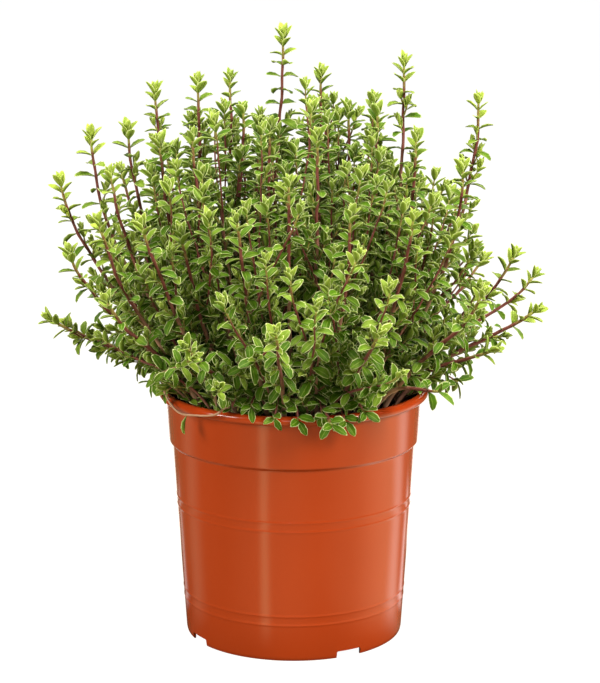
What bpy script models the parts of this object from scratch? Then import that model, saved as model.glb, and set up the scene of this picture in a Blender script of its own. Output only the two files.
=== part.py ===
"""Marjoram growing in a round plastic nursery pot.

Metres, +Z up. The origin is on the ground under the middle of the pot, and -Y is the
front of the plant. The pot is a thin turned shell, the soil is a solid plug in it, and
each leafy stem is one solid that stands in its own hole in the soil.
"""

import math
import random

import bmesh
import bpy
from mathutils import Matrix, Vector
from mathutils.bvhtree import BVHTree

MM = 0.001

# Space left between two pieces, in millimetres
GAP = 0.3

# Pot, in millimetres
POT_SIDES = 30
POT_HEIGHT = 122.0
LIP_RADIUS = 65.0
FOOT_RADIUS = 52.6
WALL = 1.2
TAPER = 0.064
STEP_HEIGHT = 96.0
STEP_OUT = 1.5
FLOOR_UNDER = 4.2
BEAD_HEIGHTS = (17.9, 22.4, 64.6, 69.1)
BEAD_OUT = 0.45
BEAD_HALF = 0.7
NOTCH_COUNT = 4
NOTCH_WIDTH = 13.0
NOTCH_HEIGHT = 3.4
NOTCH_DEPTH = 8.0
FIRST_NOTCH_ANGLE = math.radians(-60.0)
DRAIN_COUNT = 5
DRAIN_RADIUS = 4.0
DRAIN_RING = 30.0
DRAIN_SIDES = 10

# Soil, in millimetres
SOIL_TOP = 112.0
SOIL_LUMP = 0.8
SOIL_RINGS = (0.0, 33.0)
HOLE_DEPTH = 12.0
STRAIGHT_ABOVE = 2.0

# Stems, in millimetres
STEM_SIDES = 4
STEM_FOOT_RADIUS = 1.35
STEM_TIP_RADIUS = 0.8
FAN_FOCUS = 20.0
BASE_LIMIT = 50.0
STEM_CLEARANCE = 3.6
RING_SPACING = 38.0
BENDS = (0.0, 5.0, -5.0, 10.0, -10.0, 15.0, -15.0, 20.0, -20.0)

# Leaves, in millimetres
TIP_PAIRS = (2.4, 6.0)
FIRST_PAIR = 16.0
INTERNODE = 13.0
PAIRS_BUILT = ((0, 1, 2, 4, 6, 9, 12), (0, 1, 3, 5, 8, 11))
BARE_FOOT = 16.0
LEAF_LENGTHS = (8.0, 10.0, 11.5)
LEAF_ANGLES = (28.0, 48.0, 62.0, 72.0)
LEAF_WIDTH = 0.52
LEAF_KEEL = 1.05
ROOT_SUNK = 0.15
GUARD = 0.35
LEAF_SEED = 500
LEAF_TURN = 0.06
LEAF_SIZES = (0.9, 1.12)
PITCHES = (0.0, 9.0, -9.0, 18.0, -18.0)

# A blade's stations from root to tip: share of the length, of the half width, and lift
BLADE_STATIONS = ((0.0, 0.0, 0.0), (0.43, 0.9, 0.03), (0.77, 0.9, 0.01), (1.0, 0.0, -0.08))
KEEL_SHARE = 0.32

# Stem tips chosen by eye from the front: x, y, z in millimetres, and how far the tip
# leans along the line from the foot (0 is upright, 1 is straight, more droops)
CROWN_TIPS = (
    (-5, 10, 290, 0.2),
    (13, 26, 271, 0.2),
    (52, 0, 278, 0.1),
    (88, 10, 260, 0.0),
    (-30, 15, 270, 0.3),
    (-45, -5, 270, 0.3),
    (-67, 30, 262, 0.2),
    (-79, 5, 247, 0.3),
    (-96, 0, 244, 0.1),
    (-62, -22, 244, 0.3),
    (-46, -32, 248, 0.3),
    (-24, -6, 258, 0.2),
    (-11, -22, 251, 0.2),
    (11, -52, 251, 0.1),
    (26, 8, 256, 0.2),
    (39, -12, 257, 0.2),
    (57, -27, 247, 0.2),
    (70, 6, 232, 0.2),
    (78, -32, 234, 0.0),
)
FLANK_TIPS = (
    (-112, 12, 220, 0.4),
    (-85, -27, 230, 0.4),
    (-105, -22, 192, 0.5),
    (-117, -12, 158, 0.9),
    (-89, -47, 211, 0.4),
    (-86, -58, 176, 0.7),
    (-69, -68, 213, 0.9),
    (-51, -58, 208, 0.6),
    (-25, -80, 217, 0.8),
    (-2, -70, 233, 0.3),
    (26, -74, 220, 0.3),
    (54, -62, 216, 0.4),
    (106, 0, 187, 0.6),
    (118, 14, 174, 0.8),
    (115, -24, 165, 0.9),
    (86, -62, 180, 0.6),
)
APRON_TIPS = (
    (-72, -56, 138, 1.2),
    (-48, -84, 160, 0.9),
    (-8, -104, 172, 0.8),
    (18, -80, 121, 1.5),
    (38, -92, 168, 0.8),
    (68, -70, 136, 1.2),
    (94, -34, 147, 1.1),
)

# Rings of stems round the back: count, radius, height, lean
BACK_RINGS = (
    (7, 107, 168, 0.8),
    (6, 90, 216, 0.5),
    (4, 52, 250, 0.3),
)
BACK_SEED = 11
BACK_FROM = math.radians(18.0)
BACK_TO = math.radians(162.0)

GREEN = (0.115, 0.235, 0.035, 1.0)
TERRACOTTA = (0.48, 0.075, 0.018, 1.0)
PEAT = (0.022, 0.014, 0.009, 1.0)


def clear_scene():
    for item in list(bpy.data.objects):
        bpy.data.objects.remove(item, do_unlink=True)


def make_material(name, colour, roughness):
    material = bpy.data.materials.new(name)
    material.use_nodes = True
    shader = material.node_tree.nodes["Principled BSDF"]
    shader.inputs["Base Color"].default_value = colour
    shader.inputs["Roughness"].default_value = roughness
    shader.inputs["Metallic"].default_value = 0.0
    return material


def add_object(name, bm, material=None):
    mesh = bpy.data.meshes.new(name)
    bm.to_mesh(mesh)
    bm.free()
    item = bpy.data.objects.new(name, mesh)
    bpy.context.scene.collection.objects.link(item)
    if material:
        mesh.materials.append(material)
    return item


def apply_boolean(item, operation, cutter=None, collection=None):
    """Boolean on the item, applied, with what it used removed."""
    modifier = item.modifiers.new("Join", "BOOLEAN")
    modifier.operation = operation
    modifier.solver = "EXACT"
    if collection:
        modifier.operand_type = "COLLECTION"
        modifier.collection = collection
        used = list(collection.objects)
    else:
        modifier.object = cutter
        used = [cutter]
    depsgraph = bpy.context.evaluated_depsgraph_get()
    mesh = bpy.data.meshes.new_from_object(item.evaluated_get(depsgraph))
    item.modifiers.clear()
    item.data = mesh
    for piece in used:
        bpy.data.objects.remove(piece, do_unlink=True)
    if collection:
        bpy.data.collections.remove(collection)


def turned(profile, sides):
    """Closed solid turned round Z from (radius, height) points in millimetres."""
    bm = bmesh.new()
    verts = [bm.verts.new((radius * MM, 0.0, height * MM)) for radius, height in profile]
    edges = [bm.edges.new(pair) for pair in zip(verts, verts[1:])]
    bmesh.ops.spin(
        bm, geom=verts + edges, axis=(0, 0, 1), cent=(0, 0, 0),
        steps=sides, angle=math.tau, use_merge=True,
    )
    bmesh.ops.remove_doubles(bm, verts=bm.verts, dist=0.01 * MM)
    bmesh.ops.recalc_face_normals(bm, faces=bm.faces)
    return bm


def wrapped(across, along, place):
    """Closed skin from a grid rolled up, with place(i, j) giving each point."""
    bm = bmesh.new()
    bmesh.ops.create_grid(bm, x_segments=along, y_segments=across, size=0.5)
    for vert in bm.verts:
        i = round((vert.co.x + 0.5) * along)
        j = round((vert.co.y + 0.5) * across)
        vert.co = place(i, j % across)
    bmesh.ops.remove_doubles(bm, verts=bm.verts, dist=0.001 * MM)
    bmesh.ops.holes_fill(bm, edges=bm.edges, sides=across)
    bmesh.ops.recalc_face_normals(bm, faces=bm.faces)
    return bm


def body_radius(height):
    return FOOT_RADIUS + TAPER * height


def pot_outside():
    """Outer outline of the pot from the foot up to the lip's inner edge."""
    points = [(FOOT_RADIUS - WALL, 0.0), (FOOT_RADIUS - 0.3, 0.0), (body_radius(1.6), 1.6)]
    for height in BEAD_HEIGHTS:
        points += [
            (body_radius(height - BEAD_HALF), height - BEAD_HALF),
            (body_radius(height) + BEAD_OUT, height),
            (body_radius(height + BEAD_HALF), height + BEAD_HALF),
        ]
    band_foot = body_radius(STEP_HEIGHT) + STEP_OUT
    points += [
        (body_radius(STEP_HEIGHT - 1.4), STEP_HEIGHT - 1.4),
        (band_foot, STEP_HEIGHT),
        (band_foot + 1.3, POT_HEIGHT - 4.6),
        (LIP_RADIUS - 0.8, POT_HEIGHT - 4.4),
        (LIP_RADIUS, POT_HEIGHT - 3.4),
        (LIP_RADIUS, POT_HEIGHT - 1.4),
        (LIP_RADIUS - 1.0, POT_HEIGHT - 0.2),
        (LIP_RADIUS - 2.6, POT_HEIGHT),
        (LIP_RADIUS - 4.0, POT_HEIGHT - 0.9),
    ]
    return points


def pot_inside(gap=0.0):
    """Inner outline from the band down to the middle of the floor, drawn in by a gap."""
    band_foot = body_radius(STEP_HEIGHT) + STEP_OUT
    inset = WALL + gap
    floor = FLOOR_UNDER + WALL + gap
    return [
        (band_foot + 1.3 - inset, POT_HEIGHT - 4.6),
        (band_foot - inset, STEP_HEIGHT + 0.6),
        (body_radius(STEP_HEIGHT) - inset, STEP_HEIGHT - 1.4),
        (body_radius(floor + 2.0) - inset, floor + 2.0),
        (body_radius(floor) - inset - 1.6, floor),
        (0.0, floor),
    ]


def make_pot():
    under = [(0.0, FLOOR_UNDER), (FOOT_RADIUS - WALL - 0.8, FLOOR_UNDER)]
    under += [(FOOT_RADIUS - WALL, FLOOR_UNDER - 0.6)]
    bm = turned(under + pot_outside() + pot_inside(), POT_SIDES)
    pot = add_object("pot", bm, make_material("terracotta_plastic", TERRACOTTA, 0.3))
    pot.data.shade_smooth()
    pot.data.set_sharp_from_angle(angle=math.radians(35))
    apply_boolean(pot, "DIFFERENCE", cutter=pot_cutters())
    return pot


def pot_cutters():
    """Notches through the foot ring and round drain holes through the floor."""
    bm = bmesh.new()
    for number in range(NOTCH_COUNT):
        notch = bmesh.ops.create_cube(bm, size=MM)["verts"]
        bmesh.ops.scale(bm, verts=notch, vec=(NOTCH_DEPTH, NOTCH_WIDTH, NOTCH_HEIGHT * 2))
        angle = FIRST_NOTCH_ANGLE + number * math.tau / NOTCH_COUNT
        set_round(bm, notch, (FOOT_RADIUS, 0, 0), angle)
    for number in range(DRAIN_COUNT):
        drain = bmesh.ops.create_cone(
            bm, cap_ends=True, segments=DRAIN_SIDES, radius1=DRAIN_RADIUS * MM,
            radius2=DRAIN_RADIUS * MM, depth=5 * WALL * MM,
        )["verts"]
        middle = (DRAIN_RING, 0, FLOOR_UNDER + WALL / 2)
        set_round(bm, drain, middle, number * math.tau / DRAIN_COUNT)
    return add_object("pot_cutters", bm)


def set_round(bm, verts, place, angle):
    """Move verts to a place in millimetres, then turn them round the pot's axis."""
    bmesh.ops.translate(bm, verts=verts, vec=Vector(place) * MM)
    bmesh.ops.rotate(bm, verts=verts, cent=(0, 0, 0), matrix=Matrix.Rotation(angle, 3, "Z"))


def make_soil(routes):
    side = pot_inside(GAP)
    rim = side[0][0] - (side[0][1] - SOIL_TOP) * TAPER
    top = [(radius, SOIL_TOP) for radius in SOIL_RINGS]
    bm = turned(top + [(rim, SOIL_TOP)] + side[1:], POT_SIDES)
    for vert in bm.verts:
        x, y, z = vert.co / MM
        if z > SOIL_TOP - 0.01 and math.hypot(x, y) < rim - 1:
            vert.co.z += SOIL_LUMP * math.sin(0.21 * x + 1.0) * math.cos(0.17 * y) * MM
    bmesh.ops.triangulate(bm, faces=bm.faces)
    soil = add_object("soil", bm, make_material("peat_soil", PEAT, 0.95))
    apply_boolean(soil, "DIFFERENCE", cutter=stem_holes(routes))
    return soil


def stem_holes(routes):
    """A square peg for each stem's foot, wider than the stem by the gap on every side."""
    bm = bmesh.new()
    radius = STEM_FOOT_RADIUS + GAP * math.sqrt(2)
    for route in routes:
        bottom, surface = route[:2]
        depth = surface.z - bottom.z + 2 * GAP
        peg = bmesh.ops.create_cone(
            bm, cap_ends=True, segments=STEM_SIDES, radius1=radius * MM,
            radius2=radius * MM, depth=depth * MM,
        )["verts"]
        turn = math.atan2(bottom.y, bottom.x) + math.radians(45)
        bmesh.ops.rotate(bm, verts=peg, cent=(0, 0, 0), matrix=Matrix.Rotation(turn, 3, "Z"))
        bmesh.ops.translate(bm, verts=peg, vec=(bottom + surface) / 2 * MM)
    return add_object("soil_cutters", bm)


def back_tips():
    """Tips round the back, in rings, each moved a little by a seeded draw."""
    draw = random.Random(BACK_SEED)
    tips = []
    for count, radius, height, lean in BACK_RINGS:
        for number in range(count):
            share = (number + 0.5) / count
            angle = BACK_FROM + (BACK_TO - BACK_FROM) * share + draw.uniform(-0.06, 0.06)
            reach = radius + draw.uniform(-5, 5)
            rise = height + draw.uniform(-9, 9)
            tips.append((reach * math.cos(angle), reach * math.sin(angle), rise, lean))
    return tips


def stem_curve(tip, lean, bend):
    """Points of one stem from the bottom of its hole to its tip, in millimetres."""
    outward = Vector((tip.x, tip.y, 0.0))
    reach = min(outward.length * (SOIL_TOP - FAN_FOCUS) / (tip.z - FAN_FOCUS), BASE_LIMIT)
    outward.normalize()
    start = outward * reach + Vector((0, 0, SOIL_TOP + STRAIGHT_ABOVE))
    sideways = Vector((-outward.y, outward.x, 0.0)) * bend
    span = tip - start
    climb = 0.28 * max(span.z, 0.0) + 20.0 * (reach / BASE_LIMIT) ** 2
    early = start + outward * (0.42 * (span.length - span.z * 0.5)) + Vector((0, 0, climb))
    heading = (Vector((0, 0, 1)) * (1 - lean) + span.normalized() * lean).normalized()
    late = tip - heading * 0.36 * span.length
    controls = (start, early + sideways, late + sideways, tip)
    count = max(3, round(span.length / RING_SPACING))
    points = [start - Vector((0, 0, HOLE_DEPTH + STRAIGHT_ABOVE)), start]
    for number in range(1, count + 1):
        points.append(bezier(controls, number / count))
    return points


def bezier(controls, share):
    rest = 1 - share
    weights = (rest ** 3, 3 * rest * rest * share, 3 * rest * share * share, share ** 3)
    return sum((point * weight for point, weight in zip(controls, weights)), Vector())


def sampled(points, spacing=2.0):
    samples = []
    for here, there in zip(points, points[1:]):
        count = max(1, math.ceil((there - here).length / spacing))
        samples += [here.lerp(there, number / count) for number in range(count)]
    return samples + [points[-1]]


def nearest(samples, others):
    best = math.inf
    for point in samples:
        for other in others:
            best = min(best, (point - other).length_squared)
    return math.sqrt(best)


def stem_routes():
    """Every stem's route, each bent aside until it clears those before it."""
    tips = list(CROWN_TIPS) + list(FLANK_TIPS) + list(APRON_TIPS) + back_tips()
    routes = []
    taken = []
    for x, y, z, lean in tips:
        choices = []
        for bend in BENDS:
            route = stem_curve(Vector((x, y, z)), lean, bend)
            samples = sampled(route)
            room = min((nearest(samples, other) for other in taken), default=math.inf)
            choices.append((room, route, samples))
            if room > STEM_CLEARANCE:
                break
        room, route, samples = max(choices, key=lambda choice: choice[0])
        if room > STEM_CLEARANCE:
            routes.append(route)
            taken.append(samples)
    return routes


def across_from(points, along):
    """Level direction square to a stem's own upright plane, then the one square to both."""
    tip = points[-1]
    side = Vector((-tip.y, tip.x, 0.0))
    side = (side - along * side.dot(along)).normalized()
    return side, along.cross(side)


def stem_skin(points):
    """Square skin of a stem, with its taper, through the points of its route."""
    total = len(points) - 1

    def place(i, j):
        along = Vector((0, 0, 1))
        if i > 1:
            along = (points[min(i + 1, total)] - points[i - 1]).normalized()
        side, front = across_from(points, along)
        radius = STEM_FOOT_RADIUS + (STEM_TIP_RADIUS - STEM_FOOT_RADIUS) * i / total
        angle = math.radians(45) + j * math.tau / STEM_SIDES
        return (points[i] + (side * math.cos(angle) + front * math.sin(angle)) * radius) * MM

    return wrapped(STEM_SIDES, total, place)


def place_on(points, distance):
    """Point of a route at a distance back from its tip, and the route's direction there."""
    for index in range(len(points) - 1, 0, -1):
        span = points[index] - points[index - 1]
        if distance <= span.length:
            break
        distance -= span.length
    along = span.normalized()
    return points[index] - along * distance, along


def blade_skin(root, heading, normal, length, grow=0.0):
    """Leaf blade: flat above, keeled below, blunt at its end and a little recurved."""
    across = heading.cross(normal)
    last = len(BLADE_STATIONS) - 1
    keel = root + heading * KEEL_SHARE * length - normal * (LEAF_KEEL * 0.8 + grow)

    def place(i, j):
        share, half, lift = BLADE_STATIONS[i]
        middle = root + (heading * share + normal * lift) * length
        if i == 0:
            return middle * MM
        if i == last:
            return (middle + heading * grow) * MM
        if j == 2:
            return keel * MM
        half_width = half * length * LEAF_WIDTH / 2 + grow
        rise = LEAF_KEEL * 0.2 + grow
        return (middle + across * half_width * (1 - 2 * j) + normal * rise) * MM

    bm = wrapped(3, last, place)
    bmesh.ops.triangulate(bm, faces=bm.faces)
    return bm


def stem_length(points):
    return sum((b - a).length for a, b in zip(points[1:], points[2:]))


def pair_distances(points, row):
    """Distances of the leaf pairs from the tip, with each pair's place in the full row."""
    length = stem_length(points)
    for number in PAIRS_BUILT[row % len(PAIRS_BUILT)]:
        if number < len(TIP_PAIRS):
            distance = TIP_PAIRS[number]
        else:
            distance = FIRST_PAIR + (number - len(TIP_PAIRS)) * INTERNODE
        if distance < length - BARE_FOOT or number < len(TIP_PAIRS) + 1:
            yield number, distance


def leaf_pose(points, distance, number, half, turn, pitch, size):
    """Root, heading, upper normal and length of one leaf of a pair."""
    place, along = place_on(points, distance)
    side, front = across_from(points, along)
    angle = turn + number * math.pi / 2 + half * math.pi
    radial = side * math.cos(angle) + front * math.sin(angle)
    rise = math.radians(LEAF_ANGLES[min(number, len(LEAF_ANGLES) - 1)] + pitch)
    heading = radial * math.sin(rise) + along * math.cos(rise)
    normal = along * math.sin(rise) - radial * math.cos(rise)
    length = LEAF_LENGTHS[min(number, len(LEAF_LENGTHS) - 1)] * size
    share = min(distance / stem_length(points), 1.0)
    depth = ROOT_SUNK * (STEM_TIP_RADIUS + (STEM_FOOT_RADIUS - STEM_TIP_RADIUS) * share)
    return place - radial * depth, heading, normal, length + depth


def tree_of(meshes):
    """Search tree over the triangles of several bmesh solids."""
    verts = []
    faces = []
    for bm in meshes:
        first = len(verts)
        bm.verts.index_update()
        verts += [vert.co.copy() for vert in bm.verts]
        faces += [tuple(first + vert.index for vert in face.verts) for face in bm.faces]
    return BVHTree.FromPolygons(verts, faces)


def solid_of(item):
    bm = bmesh.new()
    bm.from_mesh(item.data)
    return bm


def make_blades(route, number, obstacles):
    """Blades of one stem, each pitched until it clears the other pieces, or left out."""
    draw = random.Random(LEAF_SEED + number)
    turn = draw.uniform(-LEAF_TURN, LEAF_TURN)
    blades = []
    for pair, distance in pair_distances(route, number):
        for half in (0, 1):
            size = draw.uniform(*LEAF_SIZES)
            for pitch in PITCHES:
                pose = leaf_pose(route, distance, pair, half, turn, pitch, size)
                guard = tree_of([blade_skin(*pose, grow=GUARD)])
                if not any(guard.overlap(obstacle) for obstacle in obstacles):
                    blades.append(blade_skin(*pose))
                    break
    return blades


def make_stem(route, number, blades, material):
    """One leafy stem: its square stem with every blade fused on."""
    stem = add_object(f"leafy_stem_{number + 1:02d}", stem_skin(route), material)
    group = bpy.data.collections.new("blades")
    for blade in blades:
        item = add_object("blade", blade)
        group.objects.link(item)
        bpy.context.scene.collection.objects.unlink(item)
    bpy.context.scene.collection.children.link(group)
    apply_boolean(stem, "UNION", collection=group)
    return stem


def main():
    clear_scene()
    routes = stem_routes()
    pot = make_pot()
    soil = make_soil(routes)
    material = make_material("marjoram_green", GREEN, 0.6)
    stems = [stem_skin(route) for route in routes]
    holder = tree_of([solid_of(pot), solid_of(soil)])
    blades = []
    for number, route in enumerate(routes):
        others = tree_of(stems[:number] + stems[number + 1:] + blades)
        own = make_blades(route, number, (holder, others))
        blades += [blade.copy() for blade in own]
        make_stem(route, number, own, material)


main()
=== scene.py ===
# %% [markdown]
# # Marjoram in a round nursery pot
#
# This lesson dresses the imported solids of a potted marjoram. The solids give the size and the
# place of everything: a turned plastic pot, its peat, and 57 leafy stems. Here each of them gets a
# finer piece in the same place, and the plant gets the short shoots that fill it out.
# Every length below is in millimetres until a piece is finished, when it is scaled to metres.

# %% Load the frame
import math
import random
from collections import namedtuple

import bmesh
import bpy
from mathutils import Matrix, Vector, kdtree, noise


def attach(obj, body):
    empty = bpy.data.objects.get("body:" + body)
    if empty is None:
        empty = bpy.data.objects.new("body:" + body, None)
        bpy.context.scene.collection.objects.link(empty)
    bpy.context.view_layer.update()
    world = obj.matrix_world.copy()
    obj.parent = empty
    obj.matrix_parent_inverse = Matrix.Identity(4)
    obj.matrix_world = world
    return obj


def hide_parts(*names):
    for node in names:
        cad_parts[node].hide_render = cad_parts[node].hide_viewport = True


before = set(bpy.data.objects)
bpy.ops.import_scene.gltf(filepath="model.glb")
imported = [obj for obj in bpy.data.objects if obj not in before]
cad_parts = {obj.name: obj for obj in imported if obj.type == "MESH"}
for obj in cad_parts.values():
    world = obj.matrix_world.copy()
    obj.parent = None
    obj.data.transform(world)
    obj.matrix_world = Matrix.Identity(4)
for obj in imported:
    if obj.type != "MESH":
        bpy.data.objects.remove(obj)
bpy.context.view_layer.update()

MM = 0.001
UP = Vector((0.0, 0.0, 1.0))
NOISE_SEED = 5                        # Blender's noise starts from the clock when it has no seed
noise.seed_set(NOISE_SEED)
print("solids loaded:", len(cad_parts))

# %% [markdown]
# ## Camera
#
# The photograph was taken from a little over a metre, slightly above the rim of the pot. The rim
# shows as an ellipse, and how flat that ellipse is gives the height of the camera.

# %% Camera
IMAGE_WIDTH, IMAGE_HEIGHT = 600, 683
FOCAL_PIXELS = 2392
CAMERA_DISTANCE = 1.150
CAMERA_RISE = math.radians(12.6)
LOOK_AT = Vector((0.003, 0.0, 0.1431))

camera_data = bpy.data.cameras.new("camera")
camera_data.sensor_width = 36.0
camera_data.lens = FOCAL_PIXELS / max(IMAGE_WIDTH, IMAGE_HEIGHT) * camera_data.sensor_width
camera = bpy.data.objects.new("camera", camera_data)
away = Vector((0.0, -math.cos(CAMERA_RISE), math.sin(CAMERA_RISE)))
camera.location = LOOK_AT + away * CAMERA_DISTANCE
camera.rotation_euler = away.to_track_quat("Z", "Y").to_euler()
bpy.context.scene.collection.objects.link(camera)
bpy.context.scene.camera = camera
bpy.context.scene.view_settings.view_transform = "Standard"
print("lens in millimetres:", round(camera_data.lens, 1))

# %% [markdown]
# ## Colours and nodes
#
# Colours are written as the sRGB hex values a painter or a web page would use, and the shader wants
# linear light. One function turns one into the other, and one function adds a node with its
# settings and its links.

# %% Colour and node helpers
MIX_A, MIX_B, MIX_OUT = 6, 7, 2


def tint(hex_value):
    """Linear RGBA from an sRGB hex value."""
    channels = [int(hex_value[k:k + 2], 16) / 255 for k in (1, 3, 5)]
    linear = [c / 12.92 if c <= 0.04045 else ((c + 0.055) / 1.055) ** 2.4 for c in channels]
    return (*linear, 1.0)


def add_node(tree, kind, inputs=None, **settings):
    """Adds a node: settings are its properties, and an input is a value or a socket to link."""
    made = tree.nodes.new(kind)
    for key, value in settings.items():
        setattr(made, key, value)
    for key, value in (inputs or {}).items():
        if isinstance(value, bpy.types.NodeSocket):
            tree.links.new(value, made.inputs[key])
        else:
            made.inputs[key].default_value = value
    return made


def new_material(name):
    """An empty node material and its output node."""
    material = bpy.data.materials.new(name)
    material.use_nodes = True
    material.node_tree.nodes.clear()
    return material, add_node(material.node_tree, "ShaderNodeOutputMaterial")


print("middle grey in linear light:", round(tint("#808080")[0], 3))

# %% [markdown]
# ## Studio
#
# The plant stands in a white studio. What the camera sees of the sky and the floor is white, but
# they give off little light themselves, so the inside of the plant stays dark. The floor is plain
# and pale.

# %% Floor and world
FLOOR_SIZE = 12.0
SKY_LIGHT = 0.006
FLOOR_BOUNCE = (0.08, 0.076, 0.04, 1.0)

world = bpy.data.worlds.new("studio")
world.use_nodes = True
world.node_tree.nodes.clear()
seen = add_node(world.node_tree, "ShaderNodeLightPath").outputs["Is Camera Ray"]
sky_shade = add_node(world.node_tree, "ShaderNodeMix", {
    "Factor": seen, MIX_A: (SKY_LIGHT, SKY_LIGHT, SKY_LIGHT, 1), MIX_B: (1, 1, 1, 1)},
    data_type="RGBA")
sky = add_node(world.node_tree, "ShaderNodeBackground", {"Color": sky_shade.outputs[MIX_OUT]})
add_node(world.node_tree, "ShaderNodeOutputWorld", {"Surface": sky.outputs[0]})
bpy.context.scene.world = world

bm = bmesh.new()
bmesh.ops.create_grid(bm, x_segments=1, y_segments=1, size=FLOOR_SIZE / 2)
floor_mesh = bpy.data.meshes.new("floor")
bm.to_mesh(floor_mesh)
bm.free()
floor = bpy.data.objects.new("floor", floor_mesh)
bpy.context.scene.collection.objects.link(floor)

paper, paper_out = new_material("white_paper_sweep")
tree = paper.node_tree
seen = add_node(tree, "ShaderNodeLightPath").outputs["Is Camera Ray"]
matt = add_node(tree, "ShaderNodeBsdfDiffuse", {"Color": FLOOR_BOUNCE})
glow = add_node(tree, "ShaderNodeEmission", {"Color": (1, 1, 1, 1), "Strength": 1.0})
both = add_node(tree, "ShaderNodeAddShader", {0: matt.outputs[0], 1: glow.outputs[0]})
floor_shade = add_node(tree, "ShaderNodeMixShader", {0: seen, 1: matt.outputs[0], 2: both.outputs[0]})
tree.links.new(floor_shade.outputs[0], paper_out.inputs["Surface"])
floor_mesh.materials.append(paper)
print("floor in metres:", FLOOR_SIZE)

# %% [markdown]
# ## Softboxes
#
# Large soft lights stand to both sides and overhead, a weak one stands in front, and two light the
# edges from behind. Each is an area light turned to the middle of the plant.

# %% Softboxes
# name: azimuth from the camera's side (positive to the right), rise, distance, width, height, watts
SOFTBOXES = {
    "key_right": (58, 28, 1.5, 0.6, 0.6, 37),
    "fill_left": (-62, 20, 1.5, 0.6, 0.6, 25),
    "front": (-4, 6, 1.6, 0.5, 0.4, 4),
    "overhead": (0, 78, 1.4, 0.5, 0.5, 36),
    "edge_left": (-142, 30, 1.5, 0.5, 1.0, 9),
    "edge_right": (142, 30, 1.5, 0.5, 1.0, 10),
}
AIM = Vector((0.0, 0.0, 0.16))
SOFTBOX_COLOUR = (1.0, 0.98, 0.92)


def add_lamp(name, width, height, watts, colour):
    """A rectangular area light that the camera doesn't see."""
    lamp_data = bpy.data.lights.new(name, "AREA")
    lamp_data.shape = "RECTANGLE"
    lamp_data.size = width
    lamp_data.size_y = height
    lamp_data.energy = watts
    lamp_data.color = colour
    lamp = bpy.data.objects.new(name, lamp_data)
    lamp.visible_camera = False
    bpy.context.scene.collection.objects.link(lamp)
    return lamp


for name, (azimuth, rise, distance, width, height, watts) in SOFTBOXES.items():
    a, e = math.radians(azimuth), math.radians(rise)
    toward = Vector((math.sin(a) * math.cos(e), -math.cos(a) * math.cos(e), math.sin(e)))
    lamp = add_lamp(name, width, height, watts, SOFTBOX_COLOUR)
    lamp.location = AIM + toward * distance
    lamp.rotation_euler = toward.to_track_quat("Z", "Y").to_euler()
print("softboxes:", len(SOFTBOXES))

# %% [markdown]
# ## Lamps on the floor
#
# A glossy pot shows what stands round it, and because its wall leans out it mirrors the floor. So
# the long highlights down the pot come from lamps that lie on the floor. A lamp runs away from the
# foot of the wall in the direction in which that place mirrors the camera, gets wider on the way as
# a fan does, and fades out toward its sides and its ends. Each lies a little above the one before,
# because lamps at one height hide each other.

# %% Floor lamps
STREAK = (1.0, 0.96, 0.50)
WARM = (1.0, 0.96, 0.60)
COOL = (1.0, 0.94, 0.92)
# name: place on the wall, nearest and furthest distance from it, widths there, brightness, colour
FLOOR_LAMPS = {
    "streak": (-14.5, 0.004, 0.44, 0.012, 0.11, 1.7, STREAK),
    "sweep_front": (-8, 0.0, 0.46, 0.10, 1.4, 0.34, STREAK),
    "sweep_right": (38, 0.0, 0.46, 0.08, 1.6, 0.58, STREAK),
    "glow_right": (50, 0.0, 0.46, 0.06, 0.80, 0.62, WARM),
    "veil_right": (61, 0.0, 0.46, 0.02, 0.22, 1.2, COOL),
    "veil_left": (-58, 0.0, 0.46, 0.02, 0.28, 0.42, WARM),
    "near_right": (74, 0.02, 0.24, 0.02, 0.05, 1.5, COOL),
    "far_right": (84, 0.10, 0.60, 0.04, 0.13, 2.4, COOL),
    "near_left": (-76, 0.02, 0.24, 0.02, 0.05, 0.7, COOL),
    "far_left": (-85, 0.10, 0.60, 0.04, 0.12, 1.8, COOL),
}
LAMP_LIFT = 0.001
LAMP_GAP = 0.0003
POT_FOOT = 0.0526
END_FADE = 0.12


def fade_out(lamp_data, near_share):
    """Fades a lamp out toward its sides, which spread from a share of its width, and its ends."""
    lamp_data.use_nodes = True
    tree = lamp_data.node_tree
    spot = add_node(tree, "ShaderNodeNewGeometry").outputs["Parametric"]
    split = add_node(tree, "ShaderNodeSeparateXYZ", {"Vector": spot})
    sides = add_node(tree, "ShaderNodeMapRange", {
        "Value": split.outputs["Y"], "To Min": near_share / 2, "To Max": 0.5})
    centred = add_node(tree, "ShaderNodeMath", {0: split.outputs["X"], 1: 0.5}, operation="SUBTRACT")
    off_middle = add_node(tree, "ShaderNodeMath", {0: centred.outputs[0]}, operation="ABSOLUTE")
    across = add_node(tree, "ShaderNodeMapRange", {
        "Value": off_middle.outputs[0], "From Min": sides.outputs["Result"], "From Max": 0.0},
        interpolation_type="SMOOTHSTEP")
    near_end = add_node(tree, "ShaderNodeMapRange", {
        "Value": split.outputs["Y"], "From Min": 0.0, "From Max": END_FADE},
        interpolation_type="SMOOTHSTEP")
    far_end = add_node(tree, "ShaderNodeMapRange", {
        "Value": split.outputs["Y"], "From Min": 1.0, "From Max": 1.0 - END_FADE},
        interpolation_type="SMOOTHSTEP")
    ends = add_node(tree, "ShaderNodeMath", {
        0: near_end.outputs["Result"], 1: far_end.outputs["Result"]}, operation="MULTIPLY")
    strength = add_node(tree, "ShaderNodeMath", {
        0: across.outputs["Result"], 1: ends.outputs[0]}, operation="MULTIPLY")
    tree.links.new(strength.outputs[0], tree.nodes["Emission"].inputs["Strength"])


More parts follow.
